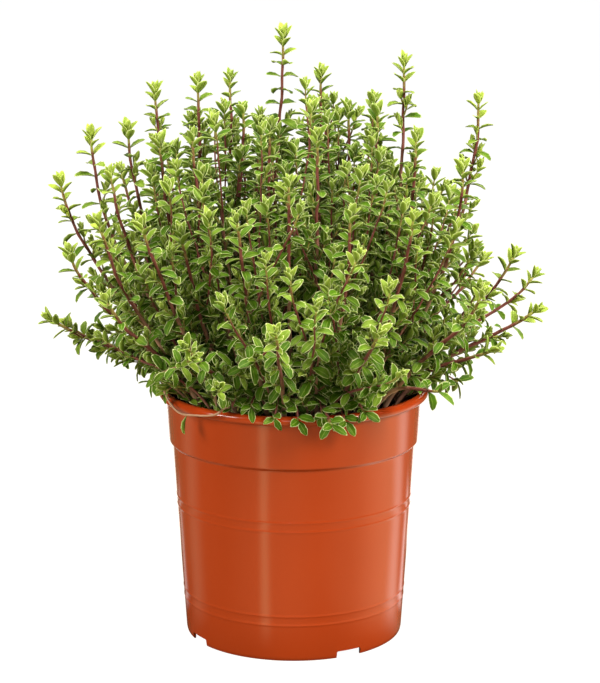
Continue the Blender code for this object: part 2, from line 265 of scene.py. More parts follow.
for number, (name, values) in enumerate(FLOOR_LAMPS.items()):
    azimuth, near, far, near_width, width, brightness, colour = values
    a = math.radians(azimuth)
    watts = brightness * math.pi * width * (far - near)
    lamp = add_lamp(name, width, far - near, watts, colour)
    fade_out(lamp.data, near_width / width)
    on_wall = Vector((math.sin(a), -math.cos(a), 0)) * POT_FOOT
    mirrored = Vector((math.sin(2 * a), -math.cos(2 * a), 0))
    lift = LAMP_LIFT + number * LAMP_GAP
    lamp.location = on_wall + mirrored * (near + far) / 2 + UP * lift
    lamp.rotation_euler = (math.pi, 0, 2 * a)
print("floor lamps:", len(FLOOR_LAMPS))

# %% [markdown]
# ## Finishing a piece
#
# A finished piece is one mesh, in metres, with its object at the origin. It rides on the part's
# only body, hides the solid that it stands for where it has one, and takes its materials.

# %% Finish a piece
def finish_piece(name, bm, materials, stands_for=()):
    """Turns a bmesh in millimetres into a finished piece in metres."""
    bmesh.ops.scale(bm, verts=bm.verts, vec=(MM, MM, MM))
    for face in bm.faces:
        face.smooth = True
    mesh = bpy.data.meshes.new(name)
    bm.to_mesh(mesh)
    bm.free()
    piece = bpy.data.objects.new(name, mesh)
    bpy.context.scene.collection.objects.link(piece)
    for material in materials:
        mesh.materials.append(material)
    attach(piece, "root")
    if stands_for:
        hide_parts(*stands_for)
    return piece


print("a millimetre in metres:", MM)

# %% [markdown]
# ## Pot
#
# A nursery pot is injection moulded in polypropylene: a thin tapered wall, a stepped collar, a
# rolled lip, and fine raised rings. It is a turned shape, so half of its outline is drawn and spun
# round Z. The corners of the outline are eased first, as a mould's are, so they catch the light.

# %% Pot outline
POT_TURNS = 128
POT_HEIGHT = 122.0
LIP_RADIUS = 65.0
FOOT_RADIUS = 52.6
WALL = 1.2
TAPER = 0.064
STEP_HEIGHT = 96.0
STEP_OUT = 1.5
FLOOR_UNDER = 4.2
BEAD_HEIGHTS = (17.9, 22.4, 64.6, 69.1)
BEAD_OUT = 0.2
BEAD_HALF = 0.8
CORNER = 0.45
CORNER_SHARE = 0.42


def body_radius(height):
    """Radius of the pot's plain wall at a height."""
    return FOOT_RADIUS + TAPER * height


def pot_outline():
    """Closed half outline of the pot, from the middle of its underside round to its floor."""
    points = [(0.0, FLOOR_UNDER), (FOOT_RADIUS - WALL - 0.8, FLOOR_UNDER)]
    points += [(FOOT_RADIUS - WALL, FLOOR_UNDER - 0.6), (FOOT_RADIUS - WALL, 0.0)]
    points += [(FOOT_RADIUS - 0.3, 0.0), (body_radius(1.6), 1.6)]
    for height in BEAD_HEIGHTS:
        points += [
            (body_radius(height - BEAD_HALF), height - BEAD_HALF),
            (body_radius(height) + BEAD_OUT, height),
            (body_radius(height + BEAD_HALF), height + BEAD_HALF),
        ]
    band_foot = body_radius(STEP_HEIGHT) + STEP_OUT
    points += [
        (body_radius(STEP_HEIGHT - 1.4), STEP_HEIGHT - 1.4),
        (band_foot, STEP_HEIGHT),
        (band_foot + 1.3, POT_HEIGHT - 4.6),
        (LIP_RADIUS - 0.8, POT_HEIGHT - 4.4),
        (LIP_RADIUS, POT_HEIGHT - 3.4),
        (LIP_RADIUS, POT_HEIGHT - 1.4),
        (LIP_RADIUS - 1.0, POT_HEIGHT - 0.2),
        (LIP_RADIUS - 2.6, POT_HEIGHT),
        (LIP_RADIUS - 4.0, POT_HEIGHT - 0.9),
    ]
    return points + pot_inside()


def pot_inside(gap=0.0):
    """Inner outline from the band down to the middle of the floor, drawn in by a gap."""
    band_foot = body_radius(STEP_HEIGHT) + STEP_OUT
    inset = WALL + gap
    floor_height = FLOOR_UNDER + WALL + gap
    return [
        (band_foot + 1.3 - inset, POT_HEIGHT - 4.6),
        (band_foot - inset, STEP_HEIGHT + 0.6),
        (body_radius(STEP_HEIGHT) - inset, STEP_HEIGHT - 1.4),
        (body_radius(floor_height + 2.0) - inset, floor_height + 2.0),
        (body_radius(floor_height) - inset - 1.6, floor_height),
        (0.0, floor_height),
    ]


def eased(outline, reach, steps=2):
    """The outline with each corner rounded off over a reach to each side of it."""
    corners = [Vector(point) for point in outline]
    points = [corners[0]]
    for before, corner, after in zip(corners, corners[1:], corners[2:]):
        back, ahead = before - corner, after - corner
        start = corner + back * min(reach / back.length, CORNER_SHARE)
        end = corner + ahead * min(reach / ahead.length, CORNER_SHARE)
        for number in range(steps + 1):
            share = number / steps
            points.append(start.lerp(corner, share).lerp(corner.lerp(end, share), share))
    return points + [corners[-1]]


def turned(outline, steps):
    """Closed skin turned round Z from a half outline."""
    bm = bmesh.new()
    verts = [bm.verts.new((radius, 0.0, height)) for radius, height in outline]
    edges = [bm.edges.new(pair) for pair in zip(verts, verts[1:])]
    bmesh.ops.spin(
        bm, geom=verts + edges, axis=(0, 0, 1), cent=(0, 0, 0),
        steps=steps, angle=math.tau, use_merge=True,
    )
    bmesh.ops.remove_doubles(bm, verts=bm.verts, dist=0.005)
    bmesh.ops.recalc_face_normals(bm, faces=bm.faces)
    return bm


pot_profile = eased(pot_outline(), CORNER)
print("points on the pot's outline:", len(pot_profile))

# %% [markdown]
# ## Notches and drain holes
#
# Four notches in the foot ring let water run out from under the pot, and five round holes drain
# the floor. They are cut with an exact Boolean, from blocks whose own edges are bevelled so the
# cuts have the rounded corners of a mould.

# %% Pot
NOTCH_COUNT = 4
NOTCH_WIDTH = 13.0
NOTCH_HEIGHT = 3.4
NOTCH_DEPTH = 8.0
FIRST_NOTCH_ANGLE = math.radians(-60.0)
NOTCH_EASE = 0.7
DRAIN_COUNT = 5
DRAIN_RADIUS = 4.0
DRAIN_RING = 30.0
DRAIN_SIDES = 32
SHARP_FROM = math.radians(42)


def pot_cutters():
    """Blocks for the notches and rods for the drain holes."""
    bm = bmesh.new()
    for number in range(NOTCH_COUNT):
        block = bmesh.ops.create_cube(bm, size=1.0)["verts"]
        bmesh.ops.scale(bm, verts=block, vec=(NOTCH_DEPTH, NOTCH_WIDTH, NOTCH_HEIGHT * 2))
        bmesh.ops.translate(bm, verts=block, vec=(FOOT_RADIUS, 0, 0))
        turn = Matrix.Rotation(FIRST_NOTCH_ANGLE + number * math.tau / NOTCH_COUNT, 3, "Z")
        bmesh.ops.rotate(bm, verts=block, cent=(0, 0, 0), matrix=turn)
    bmesh.ops.bevel(
        bm, geom=bm.edges[:], offset=NOTCH_EASE, affect="EDGES", segments=3, profile=0.5,
        material=-1,
    )
    for number in range(DRAIN_COUNT):
        rod = bmesh.ops.create_cone(
            bm, cap_ends=True, segments=DRAIN_SIDES, radius1=DRAIN_RADIUS, radius2=DRAIN_RADIUS,
            depth=5 * WALL,
        )["verts"]
        bmesh.ops.translate(bm, verts=rod, vec=(DRAIN_RING, 0, FLOOR_UNDER + WALL / 2))
        turn = Matrix.Rotation(number * math.tau / DRAIN_COUNT, 3, "Z")
        bmesh.ops.rotate(bm, verts=rod, cent=(0, 0, 0), matrix=turn)
    bmesh.ops.scale(bm, verts=bm.verts, vec=(MM, MM, MM))
    mesh = bpy.data.meshes.new("pot_cutters")
    bm.to_mesh(mesh)
    bm.free()
    cutters = bpy.data.objects.new("pot_cutters", mesh)
    bpy.context.scene.collection.objects.link(cutters)
    return cutters


def cut(piece, cutters):
    """Takes the cutters out of a piece and removes them."""
    modifier = piece.modifiers.new("cut", "BOOLEAN")
    modifier.operation = "DIFFERENCE"
    modifier.solver = "EXACT"
    modifier.object = cutters
    depsgraph = bpy.context.evaluated_depsgraph_get()
    mesh = bpy.data.meshes.new_from_object(piece.evaluated_get(depsgraph))
    piece.modifiers.clear()
    piece.data = mesh
    bpy.data.objects.remove(cutters, do_unlink=True)
    mesh.set_sharp_from_angle(angle=SHARP_FROM)


# %% [markdown]
# ## Moulded polypropylene
#
# Polypropylene comes out of a polished mould with an even colour right through and a soft gloss.
# It shines like any plastic of that density, with an IOR of about 1.49. The melt cools a shade
# paler in some places than in others, over a few centimetres.

# %% Pot material
POT_COLOUR = "#A2370F"
POT_SHADE = "#9D340E"
POT_ROUGHNESS = 0.15

pot_plastic, pot_out = new_material("polypropylene_moulded")
tree = pot_plastic.node_tree
place = add_node(tree, "ShaderNodeTexCoord").outputs["Object"]
drift = add_node(tree, "ShaderNodeTexNoise", {
    "Vector": place, "Scale": 1 / (30 * MM), "Detail": 2.0, "Roughness": 0.5})
body = add_node(tree, "ShaderNodeMix", {
    "Factor": drift.outputs["Fac"], MIX_A: tint(POT_SHADE), MIX_B: tint(POT_COLOUR)},
    data_type="RGBA")
shader = add_node(tree, "ShaderNodeBsdfPrincipled", {
    "Base Color": body.outputs[MIX_OUT], "Roughness": POT_ROUGHNESS, "IOR": 1.49})
tree.links.new(shader.outputs[0], pot_out.inputs["Surface"])

pot_piece = finish_piece("moulded_pot", turned(pot_profile, POT_TURNS), [pot_plastic],
                         ["pot"])
cut(pot_piece, pot_cutters())
print("pot faces:", len(pot_piece.data.polygons))

# %% [markdown]
# ## Peat
#
# The soil is a plug of dark moist peat. Its top is a turned disc that is lifted and sunk by a
# noise of two sizes, and crumbs and bits of root fibre lie on it.

# %% Peat
SOIL_TOP = 112.0
SOIL_GAP = 0.3
SOIL_TURNS = 96
SOIL_RING_STEP = 2.5
CRUMB_COUNT = 620
CRUMB_SIZES = (0.5, 1.7)
CRUMB_INSET = 2.5
CRUMB_RISE = 0.2
FIBRE_COUNT = 70
FIBRE_INSET = 5.0
LAID_DOWN = 1.5
FIBRE_LENGTHS = (3.0, 8.0)
FIBRE_RADII = (0.22, 0.1)
FIBRE_LIFT = 0.5
SOIL_SEED = 21
# Width and height of each of the two waves of the peat's top, and its place in the noise
SOIL_WAVES = ((19.0, 1.5, 3.0), (4.5, 0.9, 9.0))


def soil_height(x, y):
    """Height of the uneven top of the peat."""
    waves = (lift * noise.noise(Vector((x / width, y / width, place)))
             for width, lift, place in SOIL_WAVES)
    return sum(waves, SOIL_TOP)


def scattered(reach, draw):
    """A random place within a reach of the middle of the pot, and the peat's height there."""
    reach *= math.sqrt(draw.random())
    angle = draw.uniform(0, math.tau)
    x, y = reach * math.cos(angle), reach * math.sin(angle)
    return x, y, soil_height(x, y)


def any_turn(draw):
    """A turn about Z by a random angle."""
    return Matrix.Rotation(draw.uniform(0, math.tau), 3, "Z")


def make_soil(draw):
    """The plug of peat with its uneven top, its crumbs and its fibres."""
    side = pot_inside(SOIL_GAP)
    rim = side[0][0] - (side[0][1] - SOIL_TOP) * TAPER
    rings = round(rim / SOIL_RING_STEP)
    top = [(rim * number / rings, SOIL_TOP) for number in range(rings + 1)]
    bm = turned(top + side[1:], SOIL_TURNS)
    for vert in bm.verts:
        if vert.co.z > SOIL_TOP - 0.01:
            vert.co.z = soil_height(vert.co.x, vert.co.y)
    for _ in range(CRUMB_COUNT):
        x, y, z = scattered(rim - CRUMB_INSET, draw)
        size = draw.uniform(*CRUMB_SIZES)
        crumb = bmesh.ops.create_icosphere(bm, subdivisions=1, radius=size)["verts"]
        bmesh.ops.scale(bm, verts=crumb, vec=(1, draw.uniform(0.6, 1), draw.uniform(0.5, 0.9)))
        bmesh.ops.rotate(bm, verts=crumb, cent=(0, 0, 0), matrix=any_turn(draw))
        bmesh.ops.translate(bm, verts=crumb, vec=(x, y, z + CRUMB_RISE * size))
    for _ in range(FIBRE_COUNT):
        x, y, z = scattered(rim - FIBRE_INSET, draw)
        fibre = bmesh.ops.create_cone(
            bm, cap_ends=True, segments=4, radius1=FIBRE_RADII[0], radius2=FIBRE_RADII[1],
            depth=draw.uniform(*FIBRE_LENGTHS),
        )["verts"]
        lay = any_turn(draw) @ Matrix.Rotation(LAID_DOWN, 3, "Y")
        bmesh.ops.rotate(bm, verts=fibre, cent=(0, 0, 0), matrix=lay)
        bmesh.ops.translate(bm, verts=fibre, vec=(x, y, z + FIBRE_LIFT))
    return bm


# %% [markdown]
# ## Peat's finish
#
# Moist peat is almost black, with brown fibres and a dull broken shine where it is wet. Two noises
# do it: one of clods about 3 mm across for the colour, one of 0.6 mm grains for the bump.

# %% Peat material
PEAT_COLOURS = ("#120C08", "#3A2A1E")

peat, peat_out = new_material("peat_moist_crumbled")
tree = peat.node_tree
place = add_node(tree, "ShaderNodeTexCoord").outputs["Object"]
clods = add_node(tree, "ShaderNodeTexNoise", {
    "Vector": place, "Scale": 1 / (3.0 * MM), "Detail": 4.0, "Roughness": 0.6})
grains = add_node(tree, "ShaderNodeTexNoise", {
    "Vector": place, "Scale": 1 / (0.6 * MM), "Detail": 3.0, "Roughness": 0.7})
spread = add_node(tree, "ShaderNodeMapRange", {
    "Value": clods.outputs["Fac"], "From Min": 0.35, "From Max": 0.7})
earth = add_node(tree, "ShaderNodeMix", {
    "Factor": spread.outputs["Result"], MIX_A: tint(PEAT_COLOURS[0]), MIX_B: tint(PEAT_COLOURS[1])},
    data_type="RGBA")
relief = add_node(tree, "ShaderNodeBump", {
    "Height": grains.outputs["Fac"], "Distance": 0.6 * MM, "Strength": 0.9})
wet = add_node(tree, "ShaderNodeMapRange", {
    "Value": clods.outputs["Fac"], "To Min": 0.55, "To Max": 0.95})
shader = add_node(tree, "ShaderNodeBsdfPrincipled", {
    "Base Color": earth.outputs[MIX_OUT], "Roughness": wet.outputs["Result"],
    "Normal": relief.outputs["Normal"], "IOR": 1.4})
tree.links.new(shader.outputs[0], peat_out.inputs["Surface"])

soil = make_soil(random.Random(SOIL_SEED))
soil_piece = finish_piece("peat_soil", soil, [peat], ["soil"])
print("peat faces:", len(soil_piece.data.polygons))

# %% [markdown]
# ## Where the stems grow
#
# The solids' stems start in the soil and end at the tips listed here: the crown on top, the flanks
# at the sides, and the apron in front. A tip is a place in millimetres and a lean, from 0 for a stem
# that ends upright. The back can't be seen in a photograph, so its tips stand in rings. The same
# places are repeated here, so each fine stem runs down the middle of its solid.

# %% Stem tips
HOLE_DEPTH = 12.0
STRAIGHT_ABOVE = 2.0
FAN_FOCUS = 20.0
BASE_LIMIT = 50.0
STEM_CLEARANCE = 3.6
RING_SPACING = 38.0
BENDS = (0.0, 5.0, -5.0, 10.0, -10.0, 15.0, -15.0, 20.0, -20.0)
CROWN_TIPS = (
    (-5, 10, 290, 0.2),
    (13, 26, 271, 0.2),
    (52, 0, 278, 0.1),
    (88, 10, 260, 0.0),
    (-30, 15, 270, 0.3),
    (-45, -5, 270, 0.3),
    (-67, 30, 262, 0.2),
    (-79, 5, 247, 0.3),
    (-96, 0, 244, 0.1),
    (-62, -22, 244, 0.3),
    (-46, -32, 248, 0.3),
    (-24, -6, 258, 0.2),
    (-11, -22, 251, 0.2),
    (11, -52, 251, 0.1),
    (26, 8, 256, 0.2),
    (39, -12, 257, 0.2),
    (57, -27, 247, 0.2),
    (70, 6, 232, 0.2),
    (78, -32, 234, 0.0),
)
FLANK_TIPS = (
    (-112, 12, 220, 0.4),
    (-85, -27, 230, 0.4),
    (-105, -22, 192, 0.5),
    (-117, -12, 158, 0.9),
    (-89, -47, 211, 0.4),
    (-86, -58, 176, 0.7),
    (-69, -68, 213, 0.9),
    (-51, -58, 208, 0.6),
    (-25, -80, 217, 0.8),
    (-2, -70, 233, 0.3),
    (26, -74, 220, 0.3),
    (54, -62, 216, 0.4),
    (106, 0, 187, 0.6),
    (118, 14, 174, 0.8),
    (115, -24, 165, 0.9),
    (86, -62, 180, 0.6),
)
APRON_TIPS = (
    (-72, -56, 138, 1.2),
    (-48, -84, 160, 0.9),
    (-8, -104, 172, 0.8),
    (18, -80, 121, 1.5),
    (38, -92, 168, 0.8),
    (68, -70, 136, 1.2),
    (94, -34, 147, 1.1),
)
BACK_RINGS = (
    (7, 107, 168, 0.8),
    (6, 90, 216, 0.5),
    (4, 52, 250, 0.3),
)
BACK_FROM = math.radians(18.0)
BACK_TO = math.radians(162.0)
BACK_SEED = 11
# How far a tip is moved at most: round the pot in radians, outward and up
BACK_MOVES = (0.06, 5, 9)


def back_tips():
    """Tips round the back, in rings, each moved a little by a seeded draw."""
    draw = random.Random(BACK_SEED)
    turn, shift, lift = BACK_MOVES
    tips = []
    for count, radius, height, lean in BACK_RINGS:
        for number in range(count):
            share = (number + 0.5) / count
            angle = BACK_FROM + (BACK_TO - BACK_FROM) * share + draw.uniform(-turn, turn)
            reach = radius + draw.uniform(-shift, shift)
            rise = height + draw.uniform(-lift, lift)
            tips.append((reach * math.cos(angle), reach * math.sin(angle), rise, lean))
    return tips


stem_tips = CROWN_TIPS + FLANK_TIPS + APRON_TIPS + tuple(back_tips())
print("tips of main stems:", len(stem_tips))

# %% [markdown]
# ## The curve of a stem
#
# A stem's curve is a Bezier curve with four controls, the same as in the solids: its foot, a place
# that it first climbs to, a place that it comes to its tip from, and its tip. The stems are made one
# after another. Each is tried straight and then bent more and more to either side, until it keeps
# clear of all before it, and a search tree finds the nearest of their points quickly.

# %% Stem curves
CLIMB = 0.28
EDGE_CLIMB = 20.0
EARLY_REACH = 0.42
LATE_REACH = 0.36


def bezier(controls, share):
    """The point at a share of the way along a Bezier curve."""
    rest = 1 - share
    weights = (rest ** 3, 3 * rest * rest * share, 3 * rest * share * share, share ** 3)
    return sum((point * weight for point, weight in zip(controls, weights)), Vector())


def stem_controls(tip, lean, bend, swirl=0.0):
    """The four points that a stem's curve is drawn from. Swirl turns its foot round the pot."""
    outward = Vector((tip.x, tip.y, 0.0))
    reach = min(outward.length * (SOIL_TOP - FAN_FOCUS) / (tip.z - FAN_FOCUS), BASE_LIMIT)
    outward.normalize()
    foot_side = Matrix.Rotation(swirl, 3, "Z") @ outward
    start = foot_side * reach + UP * (SOIL_TOP + STRAIGHT_ABOVE)
    sideways = Vector((-outward.y, outward.x, 0.0)) * bend
    span = tip - start
    climb = CLIMB * max(span.z, 0.0) + EDGE_CLIMB * (reach / BASE_LIMIT) ** 2
    early = start + foot_side * (EARLY_REACH * (span.length - span.z * 0.5)) + UP * climb
    heading = (UP * (1 - lean) + span.normalized() * lean).normalized()
    late = tip - heading * LATE_REACH * span.length
    return start, early + sideways, late + sideways, tip


def stem_points(controls, spacing):
    """Points of a stem from the bottom of its hole to its tip."""
    start, tip = controls[0], controls[3]
    count = max(3, round((tip - start).length / spacing))
    foot = start - UP * (HOLE_DEPTH + STRAIGHT_ABOVE)
    return [foot] + [bezier(controls, number / count) for number in range(count + 1)]


def sampled(points, spacing=2.0):
    """Points spaced evenly, or a little closer, along a run of points."""
    samples = []
    for here, there in zip(points, points[1:]):
        count = max(1, math.ceil((there - here).length / spacing))
        samples += [here.lerp(there, number / count) for number in range(count)]
    return samples + [points[-1]]


def tree_of(points):
    """A search tree that finds the nearest of many points."""
    tree = kdtree.KDTree(len(points))
    for number, point in enumerate(points):
        tree.insert(point, number)
    tree.balance()
    return tree


def clear_curves(tips, taken, clearance):
    """The curve to each tip that has one clear of those taken, which it then joins."""
    curves = []
    search = tree_of(taken)
    for x, y, z, lean, *swirl in tips:
        choices = []
        for bend in BENDS:
            controls = stem_controls(Vector((x, y, z)), lean, bend, *swirl)
            samples = sampled(stem_points(controls, RING_SPACING))
            room = min((search.find(point)[2] or math.inf for point in samples))
            choices.append((room, controls, samples))
            if room > clearance:
                break
        room, controls, samples = max(choices, key=lambda choice: choice[0])
        if room > clearance:
            curves.append(controls)
            taken.extend(samples)
            search = tree_of(taken)
    return curves


taken = []
main_curves = clear_curves(stem_tips, taken, STEM_CLEARANCE)
stem_nodes = sorted(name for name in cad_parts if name.startswith("leafy_stem_"))
print("stems:", len(main_curves), "solids:", len(stem_nodes))

# %% [markdown]
# ## A leaf's skin
#
# Marjoram has small oval leaves in pairs, and there are thousands, so one leaf has only a few
# dozen faces. A leaf is a closed skin: a grid is rolled up like a flat sleeve, so that half of it
# is the upper face and half the underside, and its two ends are drawn together. Its UV map says
# how far across and along the blade a point is, with one added across on the underside.

# %% Leaf skins
BROAD_ROUND = ((-1, 0), (-0.55, 1), (0, 1), (0.55, 1), (1, 0), (0, -1))
SLIM_ROUND = ((-1, 0), (0, 1), (1, 0), (0, -1))
LONG_STATIONS = (0.0, 0.13, 0.38, 0.68, 0.91, 1.0)
SHORT_STATIONS = (0.0, 0.2, 0.5, 0.82, 1.0)
# Keeps the two edges of a leaf apart in its UV map
UV_INSET = 0.01
Skin = namedtuple("Skin", "mesh stations corners")


def make_skin(name, stations, around):
    """A leaf's closed skin with a point at each end, in shares of its length and width."""
    along, round_count = len(stations) - 1, len(around)
    bm = bmesh.new()
    blade = bm.loops.layers.uv.new("blade")
    bm.verts.layers.float.new("tone")
    bmesh.ops.create_grid(bm, x_segments=along, y_segments=round_count, size=0.5)
    for face in bm.faces:
        places = [round((v.co.y + 0.5) * round_count) % round_count for v in face.verts]
        under = min(around[j][1] for j in places) < 0
        for loop, j in zip(face.loops, places):
            i = round((loop.vert.co.x + 0.5) * along)
            share = (around[j][0] + 1) / 2 * (1 - 2 * UV_INSET) + UV_INSET
            loop[blade].uv = (share + under, stations[i])
    for vert in bm.verts:
        i = round((vert.co.x + 0.5) * along)
        j = round((vert.co.y + 0.5) * round_count) % round_count
        across, side = around[j] if 0 < i < along else (0, 0)
        vert.co = (i, across, side)
    bmesh.ops.remove_doubles(bm, verts=bm.verts, dist=0.001)
    bmesh.ops.recalc_face_normals(bm, faces=bm.faces)
    for face in bm.faces:
        face.smooth = True
    corners = [(round(v.co.x), v.co.y, round(v.co.z)) for v in bm.verts]
    mesh = bpy.data.meshes.new(name)
    bm.to_mesh(mesh)
    bm.free()
    return Skin(mesh, stations, corners)


# The longest leaf that each skin is used for, in millimetres
skins = (
    (5.0, make_skin("bud_leaf_skin", SHORT_STATIONS, SLIM_ROUND)),
    (7.6, make_skin("shoot_leaf_skin", SHORT_STATIONS, BROAD_ROUND)),
    (math.inf, make_skin("stem_leaf_skin", LONG_STATIONS, BROAD_ROUND)),
)
print("faces on a leaf:", [len(skin.mesh.polygons) for _, skin in skins])

# %% [markdown]
# ## Shaping a leaf
#
# A young leaf at a tip stands up and is folded along its midrib like a little boat. As it grows it
# gets a short stalk and a blunt end, lies out flat, and then arches over. One number for age,
# from 0 to 1, blends the two, and a seeded draw makes each leaf a little different.

# %% Leaf shape
YOUNG_OUTLINE = ((0.0, 0.0), (0.1, 0.45), (0.28, 0.85), (0.5, 1.0), (0.75, 0.74), (0.9, 0.34), (1, 0))
GROWN_OUTLINE = ((0.0, 0.0), (0.1, 0.14), (0.28, 0.70), (0.5, 1.0), (0.75, 0.88), (0.9, 0.54), (1, 0))
HALF_WIDTHS = (0.28, 0.28)
LEAF_BENDS = (-0.12, 0.95)
BEND_CHANGES = (0.1, 0.3)
WIDTH_CHANGE = (0.9, 1.1)
LEAST_BEND = 0.02
LEAF_FOLDS = (0.5, 0.55)
FOLD_CHANGE = (0.7, 1.2)
TWIST_CHANGE = (-0.3, 0.3)
LEAF_TILT = 0.45
LEAF_ROLLS = (0.05, 0.22)
# Height of the upper face, the edge and the underside, at the midrib and toward the edge
SKIN_HEIGHTS = {1: (0.02, 0.15), 0: (0.0, 0.0), -1: (-0.26, -0.06)}
EDGE_FROM = 1 / 1.8
FULL_HEIGHT_LENGTH = 9


def blend(pair, share):
    """The value at a share of the way from the first of a pair to the second."""
    return pair[0] + (pair[1] - pair[0]) * share


def outline_width(outline, place):
    """Share of the half width at a place along an outline."""
    for (before, width), (after, next_width) in zip(outline, outline[1:]):
        if place <= after:
            return width + (next_width - width) * (place - before) / (after - before)
    return 0.0


def add_leaf(bm, foot, heading, normal, length, age, tone, draw):
    """Adds one leaf: heading runs from its foot to its tip, and normal is its upper side."""
    skin = next(skin for longest, skin in skins if length <= longest)
    normal = Matrix.Rotation(draw.uniform(-LEAF_TILT, LEAF_TILT) * age, 3, heading) @ normal
    across = normal.cross(heading)
    half = length * blend(HALF_WIDTHS, age) * draw.uniform(*WIDTH_CHANGE)
    bend = blend(LEAF_BENDS, age) + draw.uniform(-1, 1) * blend(BEND_CHANGES, age)
    bend = bend if abs(bend) > LEAST_BEND else LEAST_BEND
    fold = blend(LEAF_FOLDS, age) * draw.uniform(*FOLD_CHANGE)
    roll = blend(LEAF_ROLLS, age)
    twist = draw.uniform(*TWIST_CHANGE)
    spread = 1 / math.sqrt(1 + fold * fold)
    frames = []
    for place in skin.stations:
        turn = bend * place
        mid = foot + heading * (length * math.sin(turn) / bend)
        mid = mid - normal * (length * (1 - math.cos(turn)) / bend)
        lift = normal * math.cos(turn) + heading * math.sin(turn)
        sway = across * math.cos(twist * place) + lift * math.sin(twist * place)
        width = half * blend(
            (outline_width(YOUNG_OUTLINE, place), outline_width(GROWN_OUTLINE, place)), age)
        frames.append((mid, lift, sway, width))
    bm.from_mesh(skin.mesh)
    bm.verts.ensure_lookup_table()
    tone_layer = bm.verts.layers.float["tone"]
    for vert, (i, a, side) in zip(bm.verts[-len(skin.corners):], skin.corners):
        mid, lift, sway, width = frames[i]
        height = width * (fold * abs(a) - roll * a * a)
        toward_edge = min(abs(a) / EDGE_FROM, 1.0)
        height += blend(SKIN_HEIGHTS[side], toward_edge) * min(length / FULL_HEIGHT_LENGTH, 1.0)
        vert.co = mid + sway * (width * a * spread) + lift * height
        vert[tone_layer] = tone


print("widths of a grown leaf:", [outline_width(GROWN_OUTLINE, place) for place in LONG_STATIONS])

# %% [markdown]
# ## A stem's skin
#
# A marjoram stem is square with rounded corners, thickest at its foot, and a little swollen where
# each pair of leaves joins it. It is a grid rolled into a tube along the curve.

# %% Stem skin
Stem = namedtuple("Stem", "points level foot_radius tip_radius nodes age first", defaults=(0,))
STEM_SIDES = 8
SHOOT_SIDES = 4
FACE_SHARE = 0.84
FLUSH_LENGTH = 70.0
NODE_SWELLING = 0.22
NODE_SPREAD = 1.6
FAR_FROM_NODES = 9.0


def place_on(points, distance):
    """Point on a run of points and its direction, measured back from the tip."""
    left = distance
    for there, here in zip(points[::-1], points[-2::-1]):
        step = there - here
        if left <= step.length:
            return there - step * (left / step.length), step.normalized()
        left -= step.length
    return points[0], (points[1] - points[0]).normalized()


def run_length(points):
    """Length of a run of points."""
    return sum((b - a).length for a, b in zip(points, points[1:]))


def add_stem(bm, stem, sides):
    """Adds the closed tube of a stem, swollen at its nodes."""
    points = stem.points
    steps = len(points) - 1
    back = [0.0]
    for there, here in zip(points[::-1], points[-2::-1]):
        back.append(back[-1] + (there - here).length)
    back.reverse()
    rings = []
    for number, point in enumerate(points):
        ahead = points[min(number + 1, steps)] - points[max(number - 1, 0)]
        along = ahead.normalized()
        side = (stem.level - along * stem.level.dot(along)).normalized()
        front = along.cross(side)
        share = back[number] / back[0]
        radius = blend((stem.tip_radius, stem.foot_radius), share ** 0.5)
        near = min((abs(back[number] - node) for node in stem.nodes), default=FAR_FROM_NODES)
        radius *= 1 + NODE_SWELLING * math.exp(-near * near / NODE_SPREAD)
        rings.append((point, side, front, radius))
    tube = bmesh.new()
    blade = tube.loops.layers.uv.new("blade")
    tone_layer = tube.verts.layers.float.new("tone")
    bmesh.ops.create_grid(tube, x_segments=steps, y_segments=sides, size=0.5)
    for face in tube.faces:
        face.material_index = 1
        face.smooth = True
        for loop in face.loops:
            loop[blade].uv = (loop.vert.co.y + 0.5, loop.vert.co.x + 0.5)
    for vert in tube.verts:
        i = round((vert.co.x + 0.5) * steps)
        j = round((vert.co.y + 0.5) * sides) % sides
        point, side, front, radius = rings[i]
        angle = (j + 0.5) * math.tau / sides
        if sides == STEM_SIDES:
            angle = j * math.tau / sides
            radius *= 1.0 if j % 2 else FACE_SHARE
        vert.co = point + (side * math.cos(angle) + front * math.sin(angle)) * radius
        vert[tone_layer] = min(stem.age * back[i] / FLUSH_LENGTH, 1.0)
    bmesh.ops.remove_doubles(tube, verts=tube.verts, dist=0.001)
    ends = bmesh.ops.holes_fill(tube, edges=tube.edges, sides=sides)["faces"]
    for face in ends:
        face.material_index = 1
    bmesh.ops.recalc_face_normals(tube, faces=tube.faces)
    mesh = bpy.data.meshes.new("tube")
    tube.to_mesh(mesh)
    tube.free()
    bm.from_mesh(mesh)
    bpy.data.meshes.remove(mesh)


print("sides of a stem and of a shoot:", STEM_SIDES, SHOOT_SIDES)

# %% [markdown]
# ## Where no leaf grows
#
# A leaf that would cut into the pot or the soil is left out. So is one that would close one of three
# openings, through which the eye looks in past the leaves to the peat and to the creeping shoot.

# %% Where no leaf grows
# Radii of the space that the rim takes, and the height of its top
POT_RIM = (58.5, 67.0)
RIM_TOP = 122.6
SOIL_ROOM = 1.0
WALL_ROOM = 4.0
# Places of the openings, with their radius toward the camera
CLEARINGS = (
    (Vector((51, -16, 114)), 12.0),
    (Vector((-58, -36, 123)), 8.0),
    (Vector((-43, -45, 124)), 7.0),
)


def in_pot(point):
    """True inside the wall of the pot or in the soil."""
    reach = math.hypot(point.x, point.y)
    if point.z < SOIL_TOP - SOIL_ROOM:
        return reach < body_radius(point.z) + WALL_ROOM
    return POT_RIM[0] < reach < POT_RIM[1] and point.z < RIM_TOP


def in_clearing(point):
    """True in one of the openings of the plant."""
    for place, radius in CLEARINGS:
        offset = point - place
        toward = offset.dot(away)
        if toward > 0 and (offset - away * toward).length < radius:
            return True
    return False


print("openings:", len(CLEARINGS))
